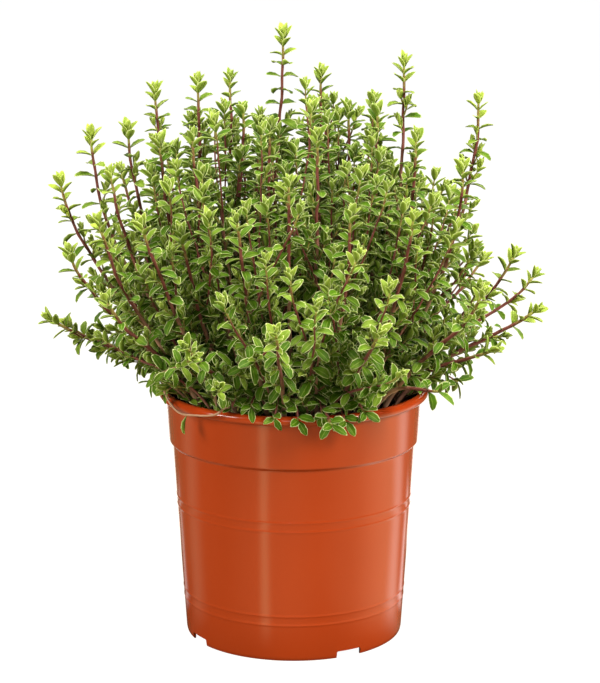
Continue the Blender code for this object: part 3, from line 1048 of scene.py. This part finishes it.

# %% [markdown]
# ## How green a leaf is
#
# A leaf's tone runs from 0 for the yellow green of a tip to 1 for the deep green of an old leaf. It
# grows with the leaf's age, and it is raised deep in the plant and low down as painted shade, which
# darkens the green where the plant shades itself. The finish reads it as an attribute.

# %% How green a leaf is
CROWN_REACH = 118.0
CROWN_MIDDLE = 185.0
CROWN_HALF_HEIGHT = 115.0
# How much darker a leaf's green is for its age, as painted shade for its depth in the plant, and by
# chance
LEAF_TONES = (0.62, 1.5, 0.18)
# Leaves low down are painted a deeper green as shade: by this much at the first height, and not at
# the second
LOW_PAINTED_SHADE = 0.3
LOW_HEIGHTS = (135.0, 195.0)


def depth_inside(point):
    """How deep a point lies in the plant: 0 at its outside and 1 in its middle."""
    level = math.hypot(point.x, point.y) / CROWN_REACH
    return max(0.0, 1 - math.hypot(level, (point.z - CROWN_MIDDLE) / CROWN_HALF_HEIGHT))


def low_share(height):
    """1 at the first of the low heights and under it, 0 at the second and over it."""
    return min(max((LOW_HEIGHTS[1] - height) / (LOW_HEIGHTS[1] - LOW_HEIGHTS[0]), 0.0), 1.0)


def leaf_tone(age, place, draw):
    """A leaf's tone, from 0 for young green to 1 for old green, with painted shade deep in the plant
    and low down.
    """
    by_age, painted_shade_by_depth, change = LEAF_TONES
    # Depth in the plant and a low height darken the green as painted shade
    tone = by_age * age + painted_shade_by_depth * depth_inside(place)
    tone += LOW_PAINTED_SHADE * low_share(place.z)
    return min(max(tone + draw.uniform(-change, change), 0.0), 1.0)


print("depth in the middle of the plant:", depth_inside(UP * CROWN_MIDDLE))

# %% [markdown]
# ## Growing a stem
#
# Each pair of leaves stands crosswise to the pair before it. Near the tip the pairs crowd into a
# bud, and further down they are 7 to 10 mm apart. Where a stem lies over, its leaves turn their
# upper sides to the light.

# %% Leaves on a stem
PAIR_STEPS = (0.3, 0.5, 0.8, 2.8, 4.0, 4.8, 5.4, 6.2, 7.0, 8.0, 8.8, 9.6)
LEAF_LENGTHS = (6.4, 8.0, 9.0, 9.2, 9.4, 9.6, 9.8, 10.0, 10.2, 10.6, 10.8, 11.2, 11.4, 11.6)
LEAF_ANGLES = (8, 17, 30, 42, 54, 62, 67, 70, 72, 74)
ANGLE_CHANGES = (4, 10)
GROWN_PAIR = 7
BARE_FOOT = 7.0
LIGHT_TURNS = (0.35, 3.0)
LIGHT_SHARES = (0.3, 1.0)
LENGTH_CHANGE = (0.86, 1.12)
TURN_CHANGE = (-0.22, 0.22)
TIP_DROP = 0.3
MID_LEAF = 0.55


def step_of(values, number):
    """The value for a pair of leaves, which is the last one past the end."""
    return values[min(number, len(values) - 1)]


def pair_places(length, steps):
    """Distances of the pairs of leaves back from the tip."""
    places = []
    place = step_of(steps, 0)
    while place <= length:
        places.append(place)
        place += step_of(steps, len(places))
    return places


def leaf_frame(stem, distance, number, half, turn, angle):
    """Foot, heading and upper side of one leaf of a pair."""
    place, along = place_on(stem.points, distance)
    side = (stem.level - along * stem.level.dot(along)).normalized()
    front = along.cross(side)
    around = turn + number * math.pi / 2 + half * math.pi
    radial = side * math.cos(around) + front * math.sin(around)
    rise = math.radians(angle)
    heading = radial * math.sin(rise) + along * math.cos(rise)
    normal = along * math.sin(rise) - radial * math.cos(rise)
    return place, along, radial, heading, normal


def toward_light(heading, normal, share):
    """The upper side turned about the leaf's length toward the sky."""
    normal = normal + UP * share
    return (normal - heading * normal.dot(heading)).normalized()


def add_leaves(bm, stem, turn, size, draw):
    """Adds every pair of leaves of a stem that has room."""
    for number, distance in enumerate(stem.nodes, start=stem.first):
        age = min(number / GROWN_PAIR, 1.0)
        for half in (0, 1):
            angle = step_of(LEAF_ANGLES, number)
            angle += draw.uniform(-1, 1) * blend(ANGLE_CHANGES, age)
            length = step_of(LEAF_LENGTHS, number) * (size * draw.uniform(*LENGTH_CHANGE))
            around = turn + draw.uniform(*TURN_CHANGE)
            foot, along, _, heading, normal = leaf_frame(
                stem, distance, number, half, around, angle)
            tone = leaf_tone(age * stem.age, foot, draw)
            light = blend(LIGHT_TURNS, (1 - along.z) / 2)
            normal = toward_light(heading, normal, light * blend(LIGHT_SHARES, age))
            tip = foot + heading * length - normal * (length * TIP_DROP * age)
            middle = foot + heading * length * MID_LEAF
            if in_pot(tip) or in_pot(middle) or in_clearing(tip):
                continue
            add_leaf(bm, foot, heading, normal, length, age, tone, draw)


print("pairs of leaves on 100 mm of stem:", len(pair_places(100.0, PAIR_STEPS)))

# %% [markdown]
# ## Side shoots
#
# In the corner between a leaf and its stem a short side shoot may start, and these shoots are what
# makes marjoram look so full. A shoot leaves the stem at a slant and curves up to the light. It has
# its own small pairs of leaves, so it is grown by the same functions as a stem, with fewer sides.

# %% Side shoots
SHOOT_STEPS = (0.4, 1.2, 2.6, 4.4, 5.6)
SHOOT_ANGLES = (28, 46)
# How far a shoot's tip is carried along its stem and upward, in shares of its length
SHOOT_LIFTS = (0.18, 0.12)
# What a shoot's end heads for: along its stem, upward, and straight on
SHOOT_HEADING = (0.6, 0.3, 0.3)
SHOOT_EARLY = 0.4
SHOOT_LATE = 0.3
SHOOT_SPACING = 2.5
SHOOT_FOOT = 0.4
SHOOT_RADII = (0.42, 0.22)
SHOOT_TURNS = (-0.3, 0.3)
# A shoot's age at the tip of its stem, and what it gains on the way down to the distance
SHOOT_AGES = (0.35, 0.3)
SHOOT_AGE_LENGTH = 80
# The size of a shoot's leaves, and what it gains for each millimetre of the shoot
SHOOT_LEAF = (0.64, 0.022)
FIRST_SHOOT = 6
SHOOT_CHANCES = ((0, 0.18), (26, 0.36), (48, 0.55), (80, 0.42), (110, 0.3))
SHOOT_LENGTHS = (1.6, 17.0)
SHOOT_GROWTH = (0.10, 0.20)


def shoot_chance(distance):
    """How often a shoot stands in the corner of a leaf, which changes down the stem."""
    return [chance for start, chance in SHOOT_CHANCES if start <= distance][-1]


def side_shoot(stem, distance, number, half, turn, length, draw):
    """A short shoot from the corner above a leaf, curving up to the light."""
    foot, along, radial, heading, _ = leaf_frame(
        stem, distance, number, half, turn, draw.uniform(*SHOOT_ANGLES))
    tip = foot + heading * length + (along * SHOOT_LIFTS[0] + UP * SHOOT_LIFTS[1]) * length
    early = foot + heading * length * SHOOT_EARLY
    by_stem, upward, onward = SHOOT_HEADING
    late = tip - (along * by_stem + UP * upward + heading * onward) * length * SHOOT_LATE
    count = max(2, round(length / SHOOT_SPACING))
    points = [bezier((foot, early, late, tip), n / count) for n in range(count + 1)]
    return points, along.cross(radial)


def add_shoot(bm, stem, distance, number, half, turn, size, draw):
    """Adds a side shoot in a corner, if its chance gives one and it has room there."""
    length = SHOOT_LENGTHS[0] + distance * draw.uniform(*SHOOT_GROWTH)
    length = min(length, SHOOT_LENGTHS[1])
    if draw.random() > shoot_chance(distance):
        return
    points, level = side_shoot(stem, distance, number, half, turn, length, draw)
    if in_pot(points[-1]) or in_clearing(points[-1]):
        return
    nodes = pair_places(run_length(points) - SHOOT_FOOT, SHOOT_STEPS)
    age = SHOOT_AGES[0] + SHOOT_AGES[1] * stem.age * min(distance / SHOOT_AGE_LENGTH, 1.0)
    shoot = Stem(points, level, *SHOOT_RADII, nodes, age)
    add_stem(bm, shoot, SHOOT_SIDES)
    add_leaves(bm, shoot, draw.uniform(*SHOOT_TURNS) + math.pi / 2,
               size * (SHOOT_LEAF[0] + SHOOT_LEAF[1] * length), draw)


def grow_stem(bm, stem, turn, size, draw, sides=STEM_SIDES):
    """Adds a stem with its leaves and its side shoots."""
    add_stem(bm, stem, sides)
    add_leaves(bm, stem, turn, size, draw)
    for number, distance in enumerate(stem.nodes[FIRST_SHOOT:], start=FIRST_SHOOT):
        for half in (0, 1):
            add_shoot(bm, stem, distance, number, half, turn, size, draw)


def new_plant_mesh():
    """An empty bmesh with the UV map and the attribute that leaves and stems have."""
    bm = bmesh.new()
    bm.loops.layers.uv.new("blade")
    bm.verts.layers.float.new("tone")
    return bm


print("chance of a shoot 30 mm from the tip:", shoot_chance(30))

# %% [markdown]
# ## Leaf finish
#
# A marjoram leaf is yellow green when young and deep green when old. The tone attribute that each
# leaf carries blends the two, and it also carries painted shade, which turns leaves deep in the plant
# and low down to the deep green. A mottle of 1.6 mm and blotches of 14 mm keep the greens uneven,
# as they are on a grown leaf.

# %% Leaf greens
YOUNG_GREENS = ("#8CA22C", "#BCCC54")
OLD_AND_SHADE_GREENS = ("#2A4802", "#547A06")

leaf_velvet, leaf_out = new_material("leaf_velvety")
tree = leaf_velvet.node_tree
blade_map = add_node(tree, "ShaderNodeUVMap", uv_map="blade")
split = add_node(tree, "ShaderNodeSeparateXYZ", {"Vector": blade_map.outputs["UV"]})
tone = add_node(tree, "ShaderNodeAttribute", attribute_name="tone").outputs["Fac"]
place = add_node(tree, "ShaderNodeTexCoord").outputs["Object"]
under = add_node(tree, "ShaderNodeMath", {0: split.outputs["X"], 1: 1.0}, operation="GREATER_THAN")
across = add_node(tree, "ShaderNodeMath", {0: split.outputs["X"]}, operation="FRACT")
centred = add_node(tree, "ShaderNodeMath", {0: across.outputs[0], 1: 0.5}, operation="SUBTRACT")
half_way = add_node(tree, "ShaderNodeMath", {0: centred.outputs[0]}, operation="ABSOLUTE")
out = add_node(tree, "ShaderNodeMath", {0: half_way.outputs[0], 1: 2.0}, operation="MULTIPLY")
mottle = add_node(tree, "ShaderNodeTexNoise", {
    "Vector": place, "Scale": 1 / (1.6 * MM), "Detail": 3.0, "Roughness": 0.6})
blotch = add_node(tree, "ShaderNodeTexNoise", {
    "Vector": place, "Scale": 1 / (14 * MM), "Detail": 2.0})
young = add_node(tree, "ShaderNodeMix", {
    "Factor": mottle.outputs["Fac"], MIX_A: tint(YOUNG_GREENS[0]), MIX_B: tint(YOUNG_GREENS[1])},
    data_type="RGBA")
# The deep green of old leaves, which the tone's painted shade also gives to leaves deep in the plant
old = add_node(tree, "ShaderNodeMix", {
    "Factor": mottle.outputs["Fac"], MIX_A: tint(OLD_AND_SHADE_GREENS[0]), MIX_B: tint(OLD_AND_SHADE_GREENS[1])},
    data_type="RGBA")
shift = add_node(tree, "ShaderNodeMapRange", {
    "Value": blotch.outputs["Fac"], "From Min": 0.3, "From Max": 0.7, "To Min": -0.2, "To Max": 0.2})
blotched_tone = add_node(tree, "ShaderNodeMath", {0: tone, 1: shift.outputs["Result"]},
                operation="ADD", use_clamp=True)
blade_green = add_node(tree, "ShaderNodeMix", {
    "Factor": blotched_tone.outputs[0], MIX_A: young.outputs[MIX_OUT], MIX_B: old.outputs[MIX_OUT]},
    data_type="RGBA")

# %% [markdown]
# ## Edge, midrib and underside
#
# A pale line runs along the margin, where the felt of very short hairs lines up; it is partly the
# hairs' own pale colour and partly a painted highlight of light caught along the edge, and the line
# is stronger on a grown leaf. The midrib is pale too, and the underside is greyer. All three are
# found from the leaf's UV map.

# %% Leaf markings
MARGIN_HAIR_AND_HIGHLIGHT_COLOUR = "#E6E8A8"
MIDRIB_COLOUR = "#A9BC58"
UNDERSIDE_COLOUR = "#86983E"
MARGIN_STRENGTH = 0.7
UNDERSIDE_STRENGTH = 0.45

# The pale margin: the hairs' own colour and a painted highlight along the edge
side_margin = add_node(tree, "ShaderNodeMapRange", {
    "Value": out.outputs[0], "From Min": 0.77, "From Max": 0.89, "To Max": MARGIN_STRENGTH},
    interpolation_type="SMOOTHSTEP")
tip_margin = add_node(tree, "ShaderNodeMapRange", {
    "Value": split.outputs["Y"], "From Min": 0.91, "From Max": 0.97, "To Max": MARGIN_STRENGTH},
    interpolation_type="SMOOTHSTEP")
margin = add_node(tree, "ShaderNodeMath", {
    0: side_margin.outputs["Result"], 1: tip_margin.outputs["Result"]}, operation="MAXIMUM")
grown = add_node(tree, "ShaderNodeMapRange", {
    "Value": tone, "From Min": 0.0, "From Max": 0.3, "To Min": 0.25, "To Max": 1.0})
rim = add_node(tree, "ShaderNodeMath", {
    0: margin.outputs[0], 1: grown.outputs["Result"]}, operation="MULTIPLY")
edged = add_node(tree, "ShaderNodeMix", {
    "Factor": rim.outputs[0], MIX_A: blade_green.outputs[MIX_OUT],
    MIX_B: tint(MARGIN_HAIR_AND_HIGHLIGHT_COLOUR)}, data_type="RGBA")
midrib = add_node(tree, "ShaderNodeMapRange", {
    "Value": out.outputs[0], "From Min": 0.03, "From Max": 0.12, "To Min": 0.3, "To Max": 0.0},
    interpolation_type="SMOOTHSTEP")
ribbed = add_node(tree, "ShaderNodeMix", {
    "Factor": midrib.outputs["Result"], MIX_A: edged.outputs[MIX_OUT],
    MIX_B: tint(MIDRIB_COLOUR)}, data_type="RGBA")
paler = add_node(tree, "ShaderNodeMath", {0: under.outputs[0], 1: UNDERSIDE_STRENGTH},
                 operation="MULTIPLY")
leaf_colour = add_node(tree, "ShaderNodeMix", {
    "Factor": paler.outputs[0], MIX_A: ribbed.outputs[MIX_OUT],
    MIX_B: tint(UNDERSIDE_COLOUR)}, data_type="RGBA")
print("nodes in the leaf's colour:", len(tree.nodes))

# %% [markdown]
# ## Leaf shine
#
# Velvety leaves are matt with a soft glow: a fine bump stands for the felt, with a little sheen over
# it. Some light passes through a leaf, so a share of a Translucent shader is mixed in.

# %% Leaf material
LIGHT_THROUGH = 0.10

felt = add_node(tree, "ShaderNodeBump", {
    "Height": mottle.outputs["Fac"], "Distance": 0.15 * MM, "Strength": 0.5})
shader = add_node(tree, "ShaderNodeBsdfPrincipled", {
    "Base Color": leaf_colour.outputs[MIX_OUT], "Roughness": 0.55, "IOR": 1.24,
    "Sheen Weight": 0.03, "Sheen Roughness": 0.35, "Sheen Tint": tint("#E6EAB4"),
    "Normal": felt.outputs["Normal"]})
glow = add_node(tree, "ShaderNodeBsdfTranslucent", {
    "Color": leaf_colour.outputs[MIX_OUT], "Normal": felt.outputs["Normal"]})
through = add_node(tree, "ShaderNodeMixShader", {
    0: LIGHT_THROUGH, 1: shader.outputs[0], 2: glow.outputs[0]})
tree.links.new(through.outputs[0], leaf_out.inputs["Surface"])
print("leaf material:", leaf_velvet.name)

# %% [markdown]
# ## Stem finish
#
# The stems are green at their tips and turn purple brown and a little woody lower down. They are
# downy too, which shows as a pale pink edge against the light.

# %% Stem material
STEM_TIP_COLOUR = "#8C8A3A"
STEM_FLUSH_COLOUR = "#6C362C"
STEM_BARK_COLOUR = "#AC8266"

stem_downy, stem_out = new_material("stem_woody_downy")
tree = stem_downy.node_tree
tone = add_node(tree, "ShaderNodeAttribute", attribute_name="tone").outputs["Fac"]
place = add_node(tree, "ShaderNodeTexCoord").outputs["Object"]
streaks = add_node(tree, "ShaderNodeTexNoise", {
    "Vector": place, "Scale": 1 / (1.8 * MM), "Detail": 3.0, "Roughness": 0.6})
spots = add_node(tree, "ShaderNodeMapRange", {
    "Value": streaks.outputs["Fac"], "To Min": -0.2, "To Max": 0.2})
ripe = add_node(tree, "ShaderNodeMath", {0: tone, 1: spots.outputs["Result"]},
                operation="ADD", use_clamp=True)
reddish = add_node(tree, "ShaderNodeMapRange", {
    "Value": ripe.outputs[0], "From Min": 0.0, "From Max": 0.16})
brownish = add_node(tree, "ShaderNodeMapRange", {
    "Value": ripe.outputs[0], "From Min": 0.55, "From Max": 1.0})
flush = add_node(tree, "ShaderNodeMix", {
    "Factor": reddish.outputs["Result"], MIX_A: tint(STEM_TIP_COLOUR),
    MIX_B: tint(STEM_FLUSH_COLOUR)}, data_type="RGBA")
bark = add_node(tree, "ShaderNodeMix", {
    "Factor": brownish.outputs["Result"], MIX_A: flush.outputs[MIX_OUT],
    MIX_B: tint(STEM_BARK_COLOUR)}, data_type="RGBA")
down = add_node(tree, "ShaderNodeBump", {
    "Height": streaks.outputs["Fac"], "Distance": 0.2 * MM, "Strength": 0.5})
shader = add_node(tree, "ShaderNodeBsdfPrincipled", {
    "Base Color": bark.outputs[MIX_OUT], "Roughness": 0.6, "IOR": 1.35,
    "Sheen Weight": 0.25, "Sheen Roughness": 0.4, "Sheen Tint": tint("#E8D2B8"),
    "Normal": down.outputs["Normal"]})
tree.links.new(shader.outputs[0], stem_out.inputs["Surface"])
print("stem material:", stem_downy.name)

# %% [markdown]
# ## The main stems
#
# Each fine stem follows its solid's curve with points every 2.6 mm, and wanders a fraction of a
# millimetre as a grown stem does.

# %% Main stems
FINE_SPACING = 2.6
WANDER = 1.0
WANDER_LENGTH = 14
WANDER_APART = 7.3
MAIN_RADII = (1.22, 0.52)
MAIN_SIZES = (0.86, 1.04)
LEAF_SEED = 58
# A stem's pairs of leaves are turned from the front by an angle between these
PAIR_TURNS = (0.45, 1.12)
LEVEL = Vector((1.0, 0.0, 0.0))
# Stems that hang over the rim are old and have lost their heads: their first pair is half grown.
# Their age is set high, which also darkens their leaves as painted shade
HANGING_BELOW = 140.0
HANGING_AGE_AND_SHADE = 2.4
HANGING_STEPS = (0.6, 2.2, 4.2, 6.0, 7.4, 8.2)
NIPPED = 3
# The head of young leaves stands past the end of its stem, which stops this many points early
HEAD_POINTS = 1


def wandering(points, seed):
    """The points moved a little by a smooth noise, more toward the tip."""
    moved = []
    for number, point in enumerate(points):
        share = number / len(points)
        place = point / WANDER_LENGTH + Vector((seed * WANDER_APART, 0, 0))
        moved.append(point + noise.noise_vector(place) * WANDER * share)
    return moved


def triangle_count(piece):
    """How many triangles a piece's faces make."""
    return sum(len(face.vertices) - 2 for face in piece.data.polygons)


leaf_materials = [leaf_velvet, stem_downy]
triangles = 0
for number, (controls, node) in enumerate(zip(main_curves, stem_nodes), start=1):
    draw = random.Random(LEAF_SEED + number)
    points = wandering(stem_points(controls, FINE_SPACING)[:-HEAD_POINTS], number)
    hanging = controls[3].z < HANGING_BELOW
    steps = HANGING_STEPS if hanging else PAIR_STEPS
    nodes = pair_places(run_length(points) - HOLE_DEPTH - BARE_FOOT, steps)
    age, first = (HANGING_AGE_AND_SHADE, NIPPED) if hanging else (1.0, 0)
    stem = Stem(points, LEVEL, *MAIN_RADII, nodes, age, first)
    bm = new_plant_mesh()
    grow_stem(bm, stem, draw.uniform(*PAIR_TURNS), draw.uniform(*MAIN_SIZES), draw)
    piece = finish_piece(f"grown_stem_{number:02d}", bm, leaf_materials, [node])
    triangles += triangle_count(piece)
print("triangles on the main stems:", triangles)

# %% [markdown]
# ## Where the shorter stems go
#
# The solids hold the stems that reach the outside of the plant. Between them a real pot of marjoram
# has as many shorter ones, which make its middle dense and dark. Their tips are laid out by a rule:
# a spiral that spreads them evenly under a dome, and two low rings, one round the flanks and one
# that leans out over the rim.

# %% Tips of shorter stems
GOLDEN_ANGLE = math.radians(137.508)
INNER_COUNT = 156
INNER_REACH = 99.0
INNER_TOP = 272.0
INNER_FALL = 0.0086
INNER_LIFTS = (-34, 6)
# How much a stem leans in the middle, and what it gains on the way out
INNER_LEANS = (0.2, 0.5)
INNER_SWIRLS = (-0.6, 0.6)
RING_SHIFTS = (-0.3, 0.3)
RING_SWIRLS = (-0.8, 0.8)
# Count, reaches, heights and lean
FLANK_RING = (22, (92.0, 110.0), (142.0, 196.0), 0.75)
RIM_RING = (38, (70.0, 94.0), (130.0, 154.0), 1.0)
# Directions in which no low stem grows, so the peat shows at the right of the front
OPEN_CORNER = (math.radians(312), math.radians(348))


def inner_tips(draw):
    """Tips spread evenly in a spiral under a dome."""
    tips = []
    for number in range(INNER_COUNT):
        reach = INNER_REACH * math.sqrt((number + 0.5) / INNER_COUNT)
        angle = number * GOLDEN_ANGLE
        rise = INNER_TOP - INNER_FALL * reach * reach + draw.uniform(*INNER_LIFTS)
        lean = INNER_LEANS[0] + INNER_LEANS[1] * reach / INNER_REACH
        swirl = draw.uniform(*INNER_SWIRLS)
        tips.append((reach * math.cos(angle), reach * math.sin(angle), rise, lean, swirl))
    return tips


def ring_tips(ring, draw):
    """Tips in a ring that leans out over the rim of the pot."""
    count, reaches, heights, lean = ring
    tips = []
    for number in range(count):
        angle = (number + draw.uniform(*RING_SHIFTS)) * math.tau / count
        reach = draw.uniform(*reaches)
        rise = draw.uniform(*heights)
        swirl = draw.uniform(*RING_SWIRLS)
        if not OPEN_CORNER[0] < angle < OPEN_CORNER[1]:
            tips.append((reach * math.cos(angle), reach * math.sin(angle), rise, lean, swirl))
    return tips


SHORT_CLEARANCE = 2.0
SHORT_SEED = 77

short_draw = random.Random(SHORT_SEED)
short_curves = clear_curves(inner_tips(short_draw), taken, SHORT_CLEARANCE)
low_tips = ring_tips(FLANK_RING, short_draw) + ring_tips(RIM_RING, short_draw)
short_curves += clear_curves(low_tips, taken, SHORT_CLEARANCE)
print("shorter stems with room to grow:", len(short_curves))

# %% [markdown]
# ## Stems over the rim
#
# At the front a few stems climb out of the soil, pass over the rim and lie down outside it. One thin
# shoot with hardly a leaf creeps along the lip at the left. It is a smooth curve through given
# places, so that it touches the lip and doesn't cut into it.

# %% Stems over the rim
Route = namedtuple("Route", "points steps radii age first", defaults=(0,))
SHORT_RADII = (0.7, 0.38)
SHORT_AGE = 0.9
SHORT_SPACING = 4.0
SPILL_TIPS = (
    (-70, -24, 125),
    (-63, -36, 123),
    (-21, -69, 123),
    (-9, -73, 119),
    (2, -73, 117),
    (14, -72, 121),
    (25, -70, 117),
    (34, -67, 120),
    (75, -14, 122),
    (82, -2, 121),
    (84, 8, 128),
)
SPILL_FOOT = 44.0
# A high age darkens the leaves of the stems over the rim as painted shade
SPILL_AGE_AND_SHADE = 3.6
# How far out and up a stem goes before it passes the rim, and how far it comes down to its tip
SPILL_OUT = 5.0
SPILL_RISE = 26.0
SPILL_DROP = 9.0
CREEPING_STEPS = (0.8, 5.0, 7.0, 9.0, 12.0, 15.0)
CREEPING_RADII = (0.6, 0.5)
CREEPING_AGE = 5.0
CREEPING_ROUTE = (
    (-24, -42, 108),
    (-27, -50, 121),
    (-31, -59, 125),
    (-36, -58, 121.5),
    (-45, -51, 119.2),
    (-53, -43, 118.8),
    (-59, -35, 123),
    (-61, -31, 131),
    (-57, -33, 139),
)
ROUTE_STEPS = 5


def spill_controls(x, y, z):
    """A stem that climbs from the soil, passes over the rim and lies down outside it."""
    tip = Vector((x, y, z))
    outward = Vector((x, y, 0.0)).normalized()
    start = outward * SPILL_FOOT + UP * (SOIL_TOP + STRAIGHT_ABOVE)
    early = start + outward * SPILL_OUT + UP * SPILL_RISE
    late = tip + (UP - outward) * SPILL_DROP
    return start, early, late, tip


def smooth_route(route):
    """Points of a smooth curve through given places."""
    ends = [route[0]] + route + [route[-1]]
    points = []
    for before, here, there, after in zip(ends, ends[1:], ends[2:], ends[3:]):
        controls = (here, here + (there - before) / 6, there - (after - here) / 6, there)
        points += [bezier(controls, number / ROUTE_STEPS) for number in range(ROUTE_STEPS)]
    return points + [route[-1]]


short_runs = [stem_points(controls, SHORT_SPACING) for controls in short_curves]
short_routes = [
    Route(points, PAIR_STEPS, SHORT_RADII, SHORT_AGE)
    for points in short_runs if not any(in_clearing(point) for point in points)
]
for tip in SPILL_TIPS:
    points = stem_points(spill_controls(*tip), SHORT_SPACING)
    short_routes.append(Route(points, HANGING_STEPS, SHORT_RADII, SPILL_AGE_AND_SHADE, NIPPED))
creeping = smooth_route([Vector(place) for place in CREEPING_ROUTE])
short_routes.append(Route(creeping, CREEPING_STEPS, CREEPING_RADII, CREEPING_AGE, NIPPED))
print("shorter stems:", len(short_routes))

# %% [markdown]
# ## Growing the shorter stems
#
# The shorter stems are grown like the main ones, but a little slimmer and smaller, and with four
# sides. They have no solids of their own, so they ride on the same body and are joined in a few
# pieces, each with under 200,000 triangles.

# %% Shorter stems
SHORT_GROUP = 17
SHORT_SIZES = (0.82, 1.0)
SHORT_LEAF_SEED = 900
SHORT_WANDER_SEED = 100

for first in range(0, len(short_routes), SHORT_GROUP):
    bm = new_plant_mesh()
    for number, route in enumerate(short_routes[first:first + SHORT_GROUP], start=first):
        draw = random.Random(SHORT_LEAF_SEED + number)
        points = wandering(route.points[:-HEAD_POINTS], SHORT_WANDER_SEED + number)
        nodes = pair_places(run_length(points) - HOLE_DEPTH - BARE_FOOT, route.steps)
        stem = Stem(points, LEVEL, *route.radii, nodes, route.age, route.first)
        turn = draw.uniform(*PAIR_TURNS)
        grow_stem(bm, stem, turn, draw.uniform(*SHORT_SIZES), draw, SHOOT_SIDES)
    group = first // SHORT_GROUP + 1
    piece = finish_piece(f"short_stems_{group:02d}", bm, leaf_materials)
    count = triangle_count(piece)
    triangles += count
    print(piece.name, "triangles:", count)
print("triangles on the plant:", triangles)
